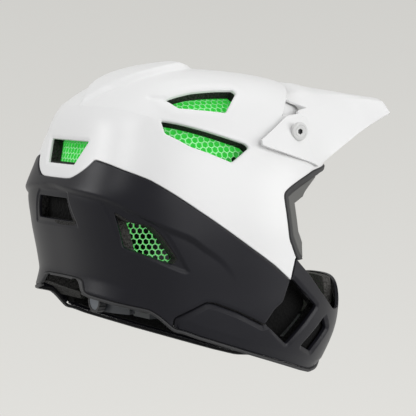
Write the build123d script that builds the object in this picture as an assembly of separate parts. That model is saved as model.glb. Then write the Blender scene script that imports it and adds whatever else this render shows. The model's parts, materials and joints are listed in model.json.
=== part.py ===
from build123d import *
import math
import os

# A full face helmet. The origin is the head's centre at its widest level, +Z is up,
# the face looks along -Y, and the wearer's right is on -X.

# Driving sizes of the outer form
HALF_WIDTH = 112.0
REAR_REACH = 119.0
CHIN_REACH = 152.0
CROWN_HEIGHT = 104.0
CHIN_DROP = 155.0

# Walls, gaps and shared fits
SHELL_WALL = 2.4
CHIN_WALL = 3.0
LINER_DEPTH = 27.0
SEAM_HALF = 0.1
PANEL_SPLIT_SHARE = 0.45
LINER_SIDE_SHARE = 0.42
LINER_TOP_SHARE = 0.40
CHIP_SHARE = 0.002
CHIN_LINER_DEPTH = 11.0
SEAT_GAP = 0.25
MOVING_GAP = 0.5
RUNNING_GAP = 0.08
OVERRUN = 12.0
PORT_TRIM_WIDTH = 5.5
PORT_TRIM_RISE = 1.2
PORT_TRIM_DEPTH = 9.0
EDGING_HEIGHT = 3.0
EDGING_RISE = 0.5
STEP_DEPTH = 1.2
RIDGE_RISE = 5.5

# The tube cores behind the vents
CORE_COVER = 9.0

# Visor and its pivot screws
PIVOT_FORWARD = 65.0
PIVOT_HEIGHT = 52.0
VISOR_REACH = 195.0
VISOR_WALL = 2.0
WING_STAND = 0.9
WING_FLARE = 3.0
TONGUE_DEPTH = 3.8
VISOR_SEAT_DEPTH = 7.4
VISOR_SEAT_WALL = 2.0
SCREW_SHANK_RADIUS = 3.0
SCREW_HEAD_RADIUS = 7.5
SCREW_HEAD_HEIGHT = 3.0
SCREW_LENGTH = 19.0
SCREW_SOCKET_RADIUS = 2.6
WASHER_THICKNESS = 0.8
INSERT_RADIUS = 5.2
INSERT_LENGTH = 9.0

# Retention cradle
BAND_RADIUS = 72.0
BAND_CENTRE_Y = -4.0
BAND_THICKNESS = 2.0
BAND_HEIGHT = 14.0
BAND_END_ANGLE = 62.0
CRADLE_Z = -90.0
CRADLE_HALF_HEIGHT = 9.5
CRADLE_HALF_ANGLE = 27.0
CRADLE_WALL = 2.4
PINION_TEETH = 10
PINION_PITCH_RADIUS = 4.0
TOOTH_HEIGHT = 1.1
TOOTH_PLAY = 0.45
PINION_WIDTH = 1.8
DIAL_RADIUS = 10.5
DIAL_THICKNESS = 6.5
DIAL_NOTCHES = 16
BAND_TRAVEL_ANGLE = 8.4
STEM_WIDTH = 12.0
STEM_THICKNESS = 2.0
STEM_TILT = 10.2
STEM_LENGTH = 58.0
ANCHOR_HEIGHT = 15.0
ANCHOR_WIDTH = 22.0
ANCHOR_DEPTH = 12.0

# Pads
PAD_THICKNESS = 6.5
CHEEK_THICKNESS = 20.0
PAD_GAP = 0.4

# Chin straps and their buckle
STRAP_WIDTH = 18.0
STRAP_THICKNESS = 1.8
STRAP_Y = 10.0
STRAP_DROP = 106.0
BUCKLE_X = 22.0
BUCKLE_LENGTH = 32.0
BUCKLE_WIDTH = 24.0
BUCKLE_THICKNESS = 9.0
BUCKLE_WALL = 2.0
MAGNET_RADIUS = 4.5
MAGNET_THICKNESS = 2.0
RIVET_RADIUS = 2.4
RIVET_HEAD_RADIUS = 5.0
RIVET_HEAD_HEIGHT = 1.2
ANCHOR_PLATE_THICKNESS = 1.6

# The outer form as levels: height, rear, front and half width as shares of the driving
# sizes, then how square the rear and the front of the level are.
LEVEL_SHARES = (
    (1.000, 0.000, 0.000, 0.000, 2.0, 2.0),
    (0.980, 0.252, 0.237, 0.232, 2.1, 2.1),
    (0.938, 0.420, 0.460, 0.402, 2.2, 2.3),
    (0.875, 0.546, 0.625, 0.536, 2.4, 2.5),
    (0.769, 0.689, 0.724, 0.670, 2.6, 2.5),
    (0.625, 0.798, 0.776, 0.786, 2.8, 2.4),
    (0.433, 0.866, 0.822, 0.884, 2.8, 2.3),
    (0.212, 0.941, 0.855, 0.955, 2.8, 2.2),
    (0.000, 1.000, 0.882, 0.991, 2.8, 2.1),
    (-0.161, 0.975, 0.908, 1.000, 2.8, 2.1),
    (-0.323, 0.933, 0.941, 0.982, 2.8, 2.1),
    (-0.484, 0.899, 0.980, 0.955, 2.8, 2.1),
    (-0.645, 0.866, 1.000, 0.929, 2.8, 2.1),
    (-0.806, 0.807, 0.974, 0.884, 2.8, 2.1),
    (-1.000, 0.689, 0.882, 0.768, 2.6, 2.1),
    (-1.130, 0.600, 0.790, 0.670, 2.6, 2.1),
)
LINE_STEPS = 90
FORM_SECTIONS = 14
RING_POINTS = 20

# Side view outlines: forward and height as shares of the driving sizes, rear first
WHITE_EDGE_SHARES = (
    (1.20, 0.14), (0.96, 0.14), (0.87, 0.30), (0.78, 0.23), (0.65, 0.155), (0.345, -0.058),
    (-0.04, -0.258), (-0.217, -0.368), (-0.345, -0.46),
)
PORT_EDGE_SHARES = (
    (-1.40, 0.26), (-0.80, 0.21), (-0.62, 0.19), (-0.55, 0.18), (-0.41, 0.115), (-0.33, 0.067),
    (-0.276, 0.02), (-0.285, -0.05), (-0.316, -0.232), (-0.375, -0.335),
)
CHIN_TOP_SHARES = (
    (-0.40, -0.36), (-0.50, -0.44), (-0.605, -0.535), (-0.70, -0.61), (-0.776, -0.665),
    (-0.90, -0.67), (-0.94, -0.54), (-0.975, -0.50), (-1.40, -0.50),
)
CHIN_SEAM_SHARES = (
    (0.48, -0.62), (0.31, -0.56), (0.26, -0.542), (0.20, -0.548), (0.00, -0.606), (-0.178, -0.69),
    (-0.243, -0.61), (-0.30, -0.574), (-0.345, -0.46), (-0.375, -0.335),
)
RIM_SHARES = (
    (1.20, -0.41), (0.90, -0.425), (0.874, -0.503), (0.815, -0.523), (0.706, -0.555), (0.63, -0.574),
    (0.571, -0.606), (0.47, -0.677), (0.403, -0.69), (0.294, -0.723), (-0.10, -0.832),
    (-0.533, -0.968), (-0.65, -1.00), (-0.80, -1.00), (-0.88, -0.955), (-1.40, -0.90),
)
DIAMOND_SHARES = ((0.86, -0.06), (0.78, -0.11), (0.65, -0.135), (0.585, -0.19), (0.48, -0.31), (0.51, -0.34),
                  (0.76, -0.265), (0.80, -0.25))
DIAMOND_STEP_SHARES = ((0.92, 0.00), (0.79, -0.06), (0.65, -0.11), (0.54, -0.18), (0.38, -0.38), (0.43, -0.39),
                       (0.80, -0.27))
CHIN_VENT_SHARES = ((-0.36, -0.45), (-0.585, -0.622), (-0.357, -0.815), (-0.19, -0.69), (-0.243, -0.61),
                    (-0.30, -0.574))
CHIN_SLOT_SHARES = ((-0.677, -0.697), (-0.725, -0.765), (-0.596, -0.885), (-0.489, -0.838))
# Crown vents as places on the form: side, forward and height as shares
UPPER_VENT_SHARES = ((0.60, 0.41, 0.77), (0.60, 0.32, 0.80), (0.59, 0.20, 0.82), (0.59, 0.00, 0.84),
                     (0.59, -0.11, 0.84), (0.62, -0.12, 0.81), (0.76, 0.01, 0.66), (0.73, 0.23, 0.69),
                     (0.69, 0.35, 0.70))
LOWER_VENT_SHARES = ((0.71, 0.50, 0.61), (0.82, 0.25, 0.54), (0.89, -0.06, 0.42), (0.90, -0.08, 0.39),
                     (0.94, 0.06, 0.28), (0.87, 0.35, 0.41), (0.77, 0.50, 0.51))
UPPER_VENT_TILT = 46.0
LOWER_VENT_TILT = 24.0
# Rear vents: half width at the top and at the foot, height of the top and of the foot
REAR_VENT_SHARES = (0.295, 0.205, 0.44, 0.255)
EXHAUST_VENT_SHARES = (0.215, 0.277, -0.006, -0.132)
REAR_ARCH_SHARES = (0.30, 0.36, -0.43, -0.95)
MOUTH_PORT_SHARES = (0.20, 0.15, -0.555, -0.72)
# Windows in the foam that hold the tube cores, and the rear core's zone
SIDE_CORE_SHARES = ((0.84, 0.00), (0.62, -0.02), (0.44, -0.14), (0.40, -0.37), (0.56, -0.38), (0.80, -0.29))
CROWN_CORE_SHARES = ((0.50, 0.50), (0.47, 0.86), (-0.14, 0.90), (-0.16, 0.40), (0.10, 0.22))
REAR_CORE_SHARES = (0.33, 0.33, 0.50, 0.20)
# The crown's raised ridge: station along Y, its half width and its rise as shares
RIDGE_SHARES = ((0.73, 0.06, 0.05), (0.62, 0.16, 0.45), (0.50, 0.23, 0.70), (0.30, 0.26, 0.85),
                (0.10, 0.24, 1.00), (-0.02, 0.20, 1.00), (-0.10, 0.15, 0.10))
RIDGE_TOP_SHARE = 0.55
# The seat of the visor in the brow: the open recess, the slot behind it and the thick wall round both
SEAT_OPEN_SHARES = ((-0.375, 0.625), (-0.467, 0.755), (-0.553, 0.846), (-0.558, 1.10), (-1.1, 1.10),
                    (-1.1, 0.52), (-0.72, 0.575), (-0.58, 0.61))
SEAT_SLOT_SHARES = ((-0.378, 0.625), (-0.47, 0.755), (-0.556, 0.846), (-0.56, 1.10), (-0.39, 1.10),
                    (-0.385, 0.92), (-0.32, 0.80), (-0.29, 0.665))
SEAT_BLOCK_SHARES = ((-0.25, 0.59), (-0.28, 0.82), (-0.36, 1.10), (-1.2, 1.10), (-1.2, 0.43), (-0.80, 0.48),
                     (-0.58, 0.56), (-0.37, 0.57))
# Visor plateau: station as a share of the visor's reach, then four points from the centre to
# the foot of its side wall, each as shares of the half width and the crown height
PLATEAU_SHARES = (
    (0.538, ((0.00, 0.875), (0.18, 0.865), (0.34, 0.817), (0.42, 0.750), (0.49, 0.663))),
    (0.641, ((0.00, 0.841), (0.16, 0.832), (0.29, 0.793), (0.35, 0.750), (0.40, 0.702))),
    (0.795, ((0.00, 0.798), (0.125, 0.793), (0.225, 0.774), (0.255, 0.760), (0.277, 0.750))),
    (0.897, ((0.00, 0.769), (0.107, 0.766), (0.196, 0.755), (0.235, 0.743), (0.268, 0.731))),
    (1.000, ((0.00, 0.745), (0.107, 0.740), (0.196, 0.731), (0.240, 0.719), (0.277, 0.707))),
)
# The tongue behind the plateau: its half section, and its turns about the pivot in degrees
TONGUE_SIDE_SHARES = (0.0, 0.20, 0.37, 0.45, 0.53)
TONGUE_TURNS = (6.0, 15.0, 24.0, 35.0)
TONGUE_LIFT_SHARES = (0.0, 0.0, 0.0, 0.2)
TONGUE_SLOT_TURNS = (-4.0, 10.0, 24.0)
# Wings that lie on the shell: station, top and low edge heights as shares of the crown height
WING_BACK_SHARES = ((-0.145, 0.450, 0.408), (-0.263, 0.540, 0.355), (-0.38, 0.622, 0.305),
                    (-0.50, 0.640, 0.258), (-0.60, 0.668, 0.215), (-0.69, 0.660, 0.240))
# Wings in front of the shell: station, then top, middle and low points
WING_FRONT_SHARES = (
    (0.641, ((0.385, 0.705), (0.48, 0.53), (0.575, 0.33))),
    (0.795, ((0.285, 0.742), (0.375, 0.62), (0.465, 0.455))),
    (0.897, ((0.262, 0.724), (0.34, 0.645), (0.415, 0.54))),
    (1.000, ((0.258, 0.698), (0.325, 0.665), (0.375, 0.615))),
)
# Cheek pad outline and brow band limits in the side view
CHEEK_SHARES = ((-0.09, -0.30), (-0.10, -0.66), (-0.25, -0.72), (-0.42, -0.66), (-0.50, -0.50), (-0.40, -0.36),
                (-0.24, -0.27))
BROW_PAD_SHARES = (0.28, 0.42)
PAD_DOT_SHARES = (-0.22, -0.48)
CROWN_PAD_HALF_SHARES = (0.26, 0.42)
CROWN_PAD_HOLE_SHARES = (0.07, 0.18)
CHEEK_CROWN_SHARES = (0.90, 1.0, 0.72)


def place(forward_share, height_share):
    """A point of the side view from its shares."""
    y = forward_share * (REAR_REACH if forward_share > 0 else CHIN_REACH)
    z = height_share * (CROWN_HEIGHT if height_share > 0 else CHIN_DROP)
    return y, z


def spot(side_share, forward_share, height_share):
    """A point in space from its shares, on the wearer's right."""
    y, z = place(forward_share, height_share)
    return Vector(-side_share * HALF_WIDTH, y, z)


def level_at(s):
    """The form's level at a share of the way down, on a smooth curve through the table."""
    rows = [list(row) for row in LEVEL_SHARES]
    before = [rows[1][0]] + [-v for v in rows[1][1:4]] + rows[1][4:]
    after = [2 * a - b for a, b in zip(rows[-1], rows[-2])]
    rows = [before] + rows + [after]
    spans = len(LEVEL_SHARES) - 1
    place_on = min(max(s, 0.0), 1.0) * spans
    i = min(int(place_on), spans - 1)
    f = place_on - i
    out = []
    for a, b, c, d in zip(rows[i], rows[i + 1], rows[i + 2], rows[i + 3]):
        out.append(0.5 * (2 * b + (c - a) * f + (2 * a - 5 * b + 4 * c - d) * f ** 2
                          + (3 * b - a - 3 * c + d) * f ** 3))
    z = out[0] * (CROWN_HEIGHT if out[0] > 0 else CHIN_DROP)
    return z, out[1] * REAR_REACH, out[2] * CHIN_REACH, out[3] * HALF_WIDTH, out[4], out[5]


LEVELS = [level_at(i / LINE_STEPS) for i in range(LINE_STEPS + 1)]


def profile_line(column, grow):
    """One profile line of the form, moved outwards by grow, as heights and reaches."""
    line = []
    for i, level in enumerate(LEVELS):
        above, below = LEVELS[max(i - 1, 0)], LEVELS[min(i + 1, LINE_STEPS)]
        run, fall = below[column] - above[column], above[0] - below[0]
        if i == 0:
            run, fall = 1.0, 0.0
        size = math.hypot(run, fall)
        line.append((level[0] + grow * run / size, max(level[column] + grow * fall / size, 0.0)))
    return line


def read_line(line, z):
    """The reach of a profile line at a height."""
    for (z_high, r_high), (z_low, r_low) in zip(line, line[1:]):
        if z_low <= z <= z_high:
            return r_high + (r_low - r_high) * (z_high - z) / (z_high - z_low)
    return line[-1][1] if z < line[-1][0] else 0.0


LINES = {}


def ring_sizes(z, grow):
    """Rear reach, front reach, half width and the two squarenesses of the form at a height."""
    if grow not in LINES:
        LINES[grow] = [profile_line(column, grow) for column in (1, 2, 3)]
    rear, front, half = (read_line(line, z) for line in LINES[grow])
    squares = [(level[0], level[4], level[5]) for level in LEVELS]
    square_rear = read_line([(z_at, rear_n) for z_at, rear_n, front_n in squares], z)
    square_front = read_line([(z_at, front_n) for z_at, rear_n, front_n in squares], z)
    return rear, front, half, max(square_rear, 2.0), max(square_front, 2.0)


def ring_point(z, grow, turn):
    """A point of the form's ring at a height, turn 0 at the rear."""
    rear, front, half, square_rear, square_front = ring_sizes(z, grow)
    side, ahead = math.sin(turn), math.cos(turn)
    reach, square = (rear, square_rear) if ahead >= 0 else (front, square_front)
    radius = (abs(side / half) ** square + abs(ahead / reach) ** square) ** (-1 / square)
    return Vector(-radius * side, radius * ahead, z)


def form_side(y, z, grow=0.0):
    """How far out the form's side is at a forward place and a height."""
    rear, front, half, square_rear, square_front = ring_sizes(z, grow)
    reach, square = (rear, square_rear) if y >= 0 else (front, square_front)
    if reach <= 0:
        return 0.0
    left = max(1 - abs(y / reach) ** square, 0.0)
    return half * left ** (1 / square)


def form_top(x, y, grow=0.0):
    """The form's height above a place in plan."""
    low, high = 0.0, CROWN_HEIGHT + grow
    for step in range(40):
        middle = (low + high) / 2
        if form_side(y, middle, grow) > abs(x):
            low = middle
        else:
            high = middle
    return low


FORMS = {}


def form(grow):
    """The solid outer form, grown outwards by an amount."""
    if grow not in FORMS:
        half_line = profile_line(3, grow)
        heights = []
        for i in range(FORM_SECTIONS):
            share = (i + 0.4) / (FORM_SECTIONS - 0.6)
            heights.append(half_line[round(share * LINE_STEPS)][0])
        wires = []
        for z in heights:
            ring = [ring_point(z, grow, 2 * math.pi * k / RING_POINTS) for k in range(RING_POINTS)]
            wires.append(Wire([Edge.make_spline(ring, periodic=True)]))
        FORMS[grow] = Solid.make_loft(wires)
    return FORMS[grow]


def carved(outer, inner, keeps, cuts=()):
    """The layer between two sizes of the form inside some zones, with pieces cut away."""
    body = form(outer)
    for keep in keeps:
        body = body & keep
    return largest(body - ([form(inner)] + list(cuts)))


def polygon_prism(points, direction):
    """A flat outline pushed along a direction."""
    face = Face(Wire.make_polygon(points, close=True))
    return Solid.extrude(face, direction)


def side_prism(outline, x_from=None, x_to=None, grow=0.0):
    """A side view outline pushed across the helmet, or between two X places."""
    reach = HALF_WIDTH + OVERRUN
    start = -reach if x_from is None else x_from
    end = reach if x_to is None else x_to
    points = [place(*pair) for pair in outline]
    if not grow:
        return polygon_prism([Vector(start, y, z) for y, z in points], Vector(end - start, 0, 0))
    flat = Plane.YZ.offset(start) * make_face(Polyline(*points, close=True))
    wide = offset(flat, grow, kind=Kind.INTERSECTION)
    return Solid.extrude(wide.face(), Vector(end - start, 0, 0))


def moved_outline(outline, down):
    """A side view line moved down by a length, as plain lengths."""
    return [(y, z - down) for y, z in (place(*pair) for pair in outline)]


def raw_side_prism(points):
    """A side view outline given in lengths, pushed across the helmet."""
    reach = HALF_WIDTH + OVERRUN
    return polygon_prism([Vector(-reach, y, z) for y, z in points], Vector(2 * reach, 0, 0))


def rear_prism(sizes, start, length, grow=0.0):
    """A trapezoid in the rear view, pushed along Y from start."""
    top_half, foot_half, top, foot = sizes
    top_z, foot_z = place(0, top)[1] + grow, place(0, foot)[1] - grow
    top_x, foot_x = top_half * HALF_WIDTH + grow, foot_half * HALF_WIDTH + grow
    points = [Vector(-top_x, start, top_z), Vector(top_x, start, top_z),
              Vector(foot_x, start, foot_z), Vector(-foot_x, start, foot_z)]
    return polygon_prism(points, Vector(0, length, 0))


def tilted_prism(spots, tilt, depth):
    """An outline of places on the crown, pushed along a tilted line through them."""
    middle = Vector(0, 0, 0)
    for item in spots:
        middle = middle + spot(*item)
    middle = middle * (1 / len(spots))
    way = Vector(-math.cos(math.radians(tilt)), 0, math.sin(math.radians(tilt)))
    plane = Plane(origin=middle, x_dir=(0, 1, 0), z_dir=way)
    flat = [plane.to_local_coords(spot(*item)) for item in spots]
    points = [plane.from_local_coords(Vector(item.X, item.Y, -depth)) for item in flat]
    return polygon_prism(points, way * (depth + OVERRUN))


def mirrored(shape):
    """The same piece on the wearer's left."""
    return shape.mirror(Plane.YZ)


def largest(shape):
    """The biggest solid of a shape, for cuts that leave loose chips."""
    solids = shape.solids()
    return max(solids, key=lambda item: item.volume)


def upper_outline():
    """The white shell's side view outline: its lower edge, then the eye port's upper part."""
    return list(WHITE_EDGE_SHARES) + list(PORT_EDGE_SHARES[::-1]) + [(-1.4, 1.3), (1.2, 1.3)]


def chin_outline():
    """The chin bar's side view outline: its seam, the eye port's lower part and the rim."""
    rim = [pair for pair in RIM_SHARES if pair[0] < 0.48]
    return list(CHIN_SEAM_SHARES) + list(CHIN_TOP_SHARES) + rim[::-1]


def lower_outline():
    """The dark side and rear shell's side view outline."""
    seam = [pair for pair in CHIN_SEAM_SHARES if pair[0] > WHITE_EDGE_SHARES[-1][0]]
    rim = [pair for pair in RIM_SHARES if pair[0] > 0.48]
    return list(WHITE_EDGE_SHARES) + seam[::-1] + rim[::-1]


def liner_outline():
    """The side view outline of both upper shells together, for the foam inside them."""
    rim = [pair for pair in RIM_SHARES if pair[0] > 0.48]
    outline = rim + list(CHIN_SEAM_SHARES)
    return outline + list(PORT_EDGE_SHARES[::-1]) + [(-1.4, 1.3), (1.2, 1.3)]


def port_outline():
    """The eye port's whole side view outline."""
    return list(PORT_EDGE_SHARES) + list(CHIN_TOP_SHARES)


def port_prism(grow=0.0):
    """The eye port pushed across the helmet, grown or shrunk."""
    return side_prism(port_outline(), grow=grow)


def above_rim(lift):
    """Everything above the rim line, lifted by a length."""
    line = moved_outline(RIM_SHARES, -lift)
    top = place(0, 1.3)[1]
    return raw_side_prism(line + [(line[-1][0], top), (line[0][0], top)])


def crown_vents(depth):
    """The cutters of the crown's vents on both sides."""
    upper = tilted_prism(UPPER_VENT_SHARES, UPPER_VENT_TILT, depth)
    lower = tilted_prism(LOWER_VENT_SHARES, LOWER_VENT_TILT, depth)
    return [upper, lower, mirrored(upper), mirrored(lower)]


def rear_vent(grow=0.0):
    """The cutter of the white shell's rear vent."""
    return rear_prism(REAR_VENT_SHARES, REAR_REACH / 2, REAR_REACH, grow)


def exhaust_vent(grow=0.0):
    """The cutter of the dark shell's rear vent."""
    return rear_prism(EXHAUST_VENT_SHARES, REAR_REACH / 2, REAR_REACH, grow)


def crown_ridge():
    """The raised ridge along the crown."""
    sections = []
    for forward, half, rise in RIDGE_SHARES:
        y = place(forward, 0)[0]
        side = half * HALF_WIDTH
        top_side = side * RIDGE_TOP_SHARE
        foot = form_top(side, y) - SHELL_WALL / 2
        top = form_top(top_side, y) + rise * RIDGE_RISE
        corners = [Vector(-side, y, foot), Vector(-top_side, y, top), Vector(top_side, y, top),
                   Vector(side, y, foot)]
        sections.append(Wire.make_polygon(corners, close=True))
    return Solid.make_loft(sections, ruled=True) - form(-SHELL_WALL / 2)


def pivot_hole(radius):
    """A bore along the visor's pivot line, right across the helmet."""
    reach = HALF_WIDTH + OVERRUN
    plane = Plane(origin=(-reach, -PIVOT_FORWARD, PIVOT_HEIGHT), z_dir=(1, 0, 0))
    side = form_side(-PIVOT_FORWARD, PIVOT_HEIGHT)
    length = reach - side + SCREW_LENGTH
    right = Solid.make_cylinder(radius, length, plane)
    return [right, mirrored(right)]


def upper_shell():
    """The white outer shell with its vents, ridge and the visor's seat."""
    cuts = crown_vents(OVERRUN) + [rear_vent()] + pivot_hole(SCREW_SHANK_RADIUS + SEAT_GAP)
    shell = carved(0, -SHELL_WALL, [side_prism(upper_outline())], cuts)
    block = carved(0, -VISOR_SEAT_DEPTH - VISOR_SEAT_WALL, [side_prism(SEAT_BLOCK_SHARES)])
    recess = carved(OVERRUN / 2, -VISOR_SEAT_DEPTH, [side_prism(SEAT_OPEN_SHARES)])
    slot = carved(-SHELL_WALL, -VISOR_SEAT_DEPTH, [side_prism(SEAT_SLOT_SHARES)])
    return largest((shell + block + crown_ridge()) - [recess, slot])


def lower_shell():
    """The dark rear and side shell with its vents."""
    step = carved(OVERRUN / 2, -STEP_DEPTH, [side_prism(DIAMOND_STEP_SHARES, x_to=0)])
    cuts = [side_prism(DIAMOND_SHARES), exhaust_vent(), step, mirrored(step)]
    return carved(0, -SHELL_WALL, [side_prism(lower_outline())], cuts)


def mouth_port(grow=0.0):
    """The cutter of the mouth port in the front of the chin bar."""
    return rear_prism(MOUTH_PORT_SHARES, -CHIN_REACH - OVERRUN, CHIN_REACH / 3, grow)


def chin_bar_shell():
    """The dark chin bar with its side vents and mouth port."""
    cuts = [side_prism(CHIN_VENT_SHARES), side_prism(CHIN_SLOT_SHARES), mouth_port()]
    return carved(0, -CHIN_WALL, [side_prism(chin_outline())], cuts)


def core_limits():
    """Outer and inner depth of the tube cores below the form."""
    return -SHELL_WALL - CORE_COVER, -SHELL_WALL - LINER_DEPTH


def core_windows(grow):
    """The zones of the right side core, the right crown core and the rear core."""
    return [
        side_prism(SIDE_CORE_SHARES, x_to=-HALF_WIDTH / 3, grow=grow),
        side_prism(CROWN_CORE_SHARES, x_to=-HALF_WIDTH / 5 + grow, grow=grow),
        rear_prism(REAR_CORE_SHARES, REAR_REACH / 3, REAR_REACH, grow),
    ]


def tube_core(index):
    """One block of tube core, flush with the foam's inner face."""
    outer, inner = core_limits()
    return carved(outer, inner, [core_windows(0)[index]])


def impact_liner():
    """The expanded foam liner, with windows for the tube cores and channels to the vents."""
    outer = -SHELL_WALL - SEAT_GAP
    floor = VISOR_SEAT_DEPTH + VISOR_SEAT_WALL + SEAT_GAP
    seat = carved(SEAT_GAP, -floor, [side_prism(SEAT_BLOCK_SHARES, grow=SEAT_GAP)])
    cuts = crown_vents(CORE_COVER + OVERRUN) + pivot_hole(INSERT_RADIUS) + rivet_bores()
    cuts = cuts + [rear_vent(), exhaust_vent(), side_prism(DIAMOND_SHARES), seat]
    cuts.append(rear_prism(REAR_ARCH_SHARES, REAR_REACH / 3, REAR_REACH))
    core_outer = core_limits()[0] + SEAT_GAP
    for index, window in enumerate(core_windows(SEAT_GAP)):
        pocket = form(core_outer) & window
        cuts.append(pocket)
        if index < 2:
            cuts.append(mirrored(pocket))
    zone = side_prism(liner_outline())
    return carved(outer, -SHELL_WALL - LINER_DEPTH, [zone, above_rim(EDGING_HEIGHT)], [port_prism(SEAT_GAP)] + cuts)


def chin_bar_liner():
    """The thin foam inside the chin bar."""
    outer = -CHIN_WALL - SEAT_GAP
    cuts = [port_prism(CHIN_WALL), side_prism(CHIN_VENT_SHARES), side_prism(CHIN_SLOT_SHARES),
            mouth_port(OVERRUN / 4)]
    keeps = [side_prism(chin_outline(), grow=-SEAT_GAP), above_rim(EDGING_HEIGHT)]
    return carved(outer, outer - CHIN_LINER_DEPTH, keeps, cuts)


def port_trim():
    """The moulded edge of the eye port, above the chin bar."""
    top = place(0, PORT_EDGE_SHARES[-1][1])[1]
    keep = Solid.make_box(2 * CHIN_REACH, 2 * CHIN_REACH, CROWN_HEIGHT,
                          Plane(origin=(-CHIN_REACH, -2 * CHIN_REACH, top)))
    return carved(PORT_TRIM_RISE, -PORT_TRIM_DEPTH, [port_prism(-SEAT_GAP), keep], [port_prism(-PORT_TRIM_WIDTH)])


def base_edging():
    """The edging along the lower rim."""
    upper = moved_outline(RIM_SHARES, SEAT_GAP)
    lower = moved_outline(RIM_SHARES, EDGING_HEIGHT)
    strip = raw_side_prism(upper + lower[::-1])
    return carved(EDGING_RISE, -SHELL_WALL - SEAT_GAP, [strip])


def zone_box(x_zone, y_zone, z_zone):
    """A box between the two lengths of each zone, drawn in by half a seam on every side."""
    (x_from, x_to), (y_from, y_to), (z_from, z_to) = x_zone, y_zone, z_zone
    corner = Plane(origin=(x_from + SEAM_HALF, y_from + SEAM_HALF, z_from + SEAM_HALF))
    return Solid.make_box(x_to - x_from - 2 * SEAM_HALF, y_to - y_from - 2 * SEAM_HALF,
                          z_to - z_from - 2 * SEAM_HALF, corner)


def panel(shape, zone):
    """The part of a shape inside a zone, without loose chips."""
    pieces = (shape & zone).solids()
    most = max(piece.volume for piece in pieces)
    kept = [piece for piece in pieces if piece.volume > most * CHIP_SHARE]
    return kept[0] if len(kept) == 1 else Compound(children=kept)


def in_three(name, shape, half):
    """A shape as its middle panel and its right and left panels."""
    far = 2 * CHIN_REACH
    everywhere = (-far, far)
    right = panel(shape, zone_box((-far, -half), everywhere, everywhere))
    middle = panel(shape, zone_box((-half, half), everywhere, everywhere))
    return {name: middle, name + "_right": right, name + "_left": mirrored(right)}


def liner_panels(shape):
    """The foam liner as its crown, brow, rear, right and left panels."""
    far = 2 * CHIN_REACH
    half, top = LINER_SIDE_SHARE * HALF_WIDTH, LINER_TOP_SHARE * CROWN_HEIGHT
    everywhere, low = (-far, far), (-far, top)
    right = panel(shape, zone_box((-far, -half), everywhere, low))
    return {
        "impact_liner": panel(shape, zone_box(everywhere, everywhere, (top, far))),
        "impact_liner_brow": panel(shape, zone_box((-half, half), (-far, 0), low)),
        "impact_liner_rear": panel(shape, zone_box((-half, half), (0, far), low)),
        "impact_liner_right": right,
        "impact_liner_left": mirrored(right),
    }


def loop_wire(points):
    """A closed straight-sided wire."""
    return Wire.make_polygon(points, close=True)


def thin_section(outer, y, wall):
    """A closed section of a sheet from its outer points, moved inwards by the wall."""
    inner = []
    for i, (x, z) in enumerate(outer):
        ahead, behind = outer[min(i + 1, len(outer) - 1)], outer[max(i - 1, 0)]
        run, rise = ahead[0] - behind[0], ahead[1] - behind[1]
        size = math.hypot(run, rise)
        inner.append((x + wall * rise / size, z - wall * run / size))
    return loop_wire([Vector(x, y, z) for x, z in outer + inner[::-1]])


def plateau_row(row):
    """Half of a plateau station, from the centre out, in lengths."""
    return [(side * HALF_WIDTH, height * CROWN_HEIGHT) for side, height in row]


def pivot_radius(x, turn, grow):
    """The form's distance from the pivot line at a side place and a turn from upright."""
    low, high = 0.0, CROWN_HEIGHT
    for step in range(40):
        middle = (low + high) / 2
        y = -PIVOT_FORWARD - middle * math.sin(turn)
        if form_side(y, PIVOT_HEIGHT + middle * math.cos(turn), grow) > abs(x):
            low = middle
        else:
            high = middle
    return low


def tongue_row():
    """Half of the tongue's section: side places and distances from the pivot line."""
    row = []
    for side in TONGUE_SIDE_SHARES:
        x = side * HALF_WIDTH
        reaches = [pivot_radius(x, math.radians(turn), -TONGUE_DEPTH) for turn in TONGUE_SLOT_TURNS]
        row.append((x, sum(reaches) / len(reaches)))
    return row


def visor_plateau():
    """The raised middle of the visor, with the tongue that slides under the crown."""
    wires = []
    row = tongue_row()
    across = [(-x, reach) for x, reach in row[::-1]] + row[1:]
    for turn, lift_share in zip(TONGUE_TURNS, TONGUE_LIFT_SHARES):
        lifted = [(x, reach + lift_share * TONGUE_DEPTH) for x, reach in across]
        section = lifted + [(x, reach - VISOR_WALL) for x, reach in lifted[::-1]]
        ahead, up = math.sin(math.radians(turn)), math.cos(math.radians(turn))
        points = [Vector(x, -PIVOT_FORWARD - reach * ahead, PIVOT_HEIGHT + reach * up) for x, reach in section]
        wires.append(loop_wire(points))
    for forward, row in PLATEAU_SHARES:
        half = plateau_row(row)
        across = [(-x, z) for x, z in half[::-1]] + half[1:]
        wires.append(thin_section(across, -forward * VISOR_REACH, VISOR_WALL))
    return Solid.make_loft(wires, ruled=True)


def wing_stand(y):
    """How far the wing stands off the shell at a forward place: more towards its rear corner."""
    rear_y, front_y = place(WING_BACK_SHARES[0][0], 0)[0], place(WING_BACK_SHARES[3][0], 0)[0]
    return WING_STAND + WING_FLARE * max(0.0, (y - front_y) / (rear_y - front_y))


def visor_wing():
    """The right wing of the visor, over the temple and out to the tip."""
    wires = []
    steps = 4
    for forward, top, low in WING_BACK_SHARES:
        y = place(forward, 0)[0]
        stand = wing_stand(y)
        outer = []
        for i in range(steps + 1):
            z = (low + (top - low) * i / steps) * CROWN_HEIGHT
            outer.append((-form_side(y, z, stand + VISOR_WALL), z))
        wires.append(thin_section(outer, y, VISOR_WALL))
    for forward, row in WING_FRONT_SHARES:
        (top_x, top_z), (mid_x, mid_z), (low_x, low_z) = plateau_row(row)
        outer = [(-low_x, low_z), (-(low_x + mid_x) / 2, (low_z + mid_z) / 2), (-mid_x, mid_z),
                 (-(mid_x + top_x) / 2, (mid_z + top_z) / 2), (-top_x, top_z)]
        wires.append(thin_section(outer, -forward * VISOR_REACH, VISOR_WALL))
    return Solid.make_loft(wires, ruled=True)


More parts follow.
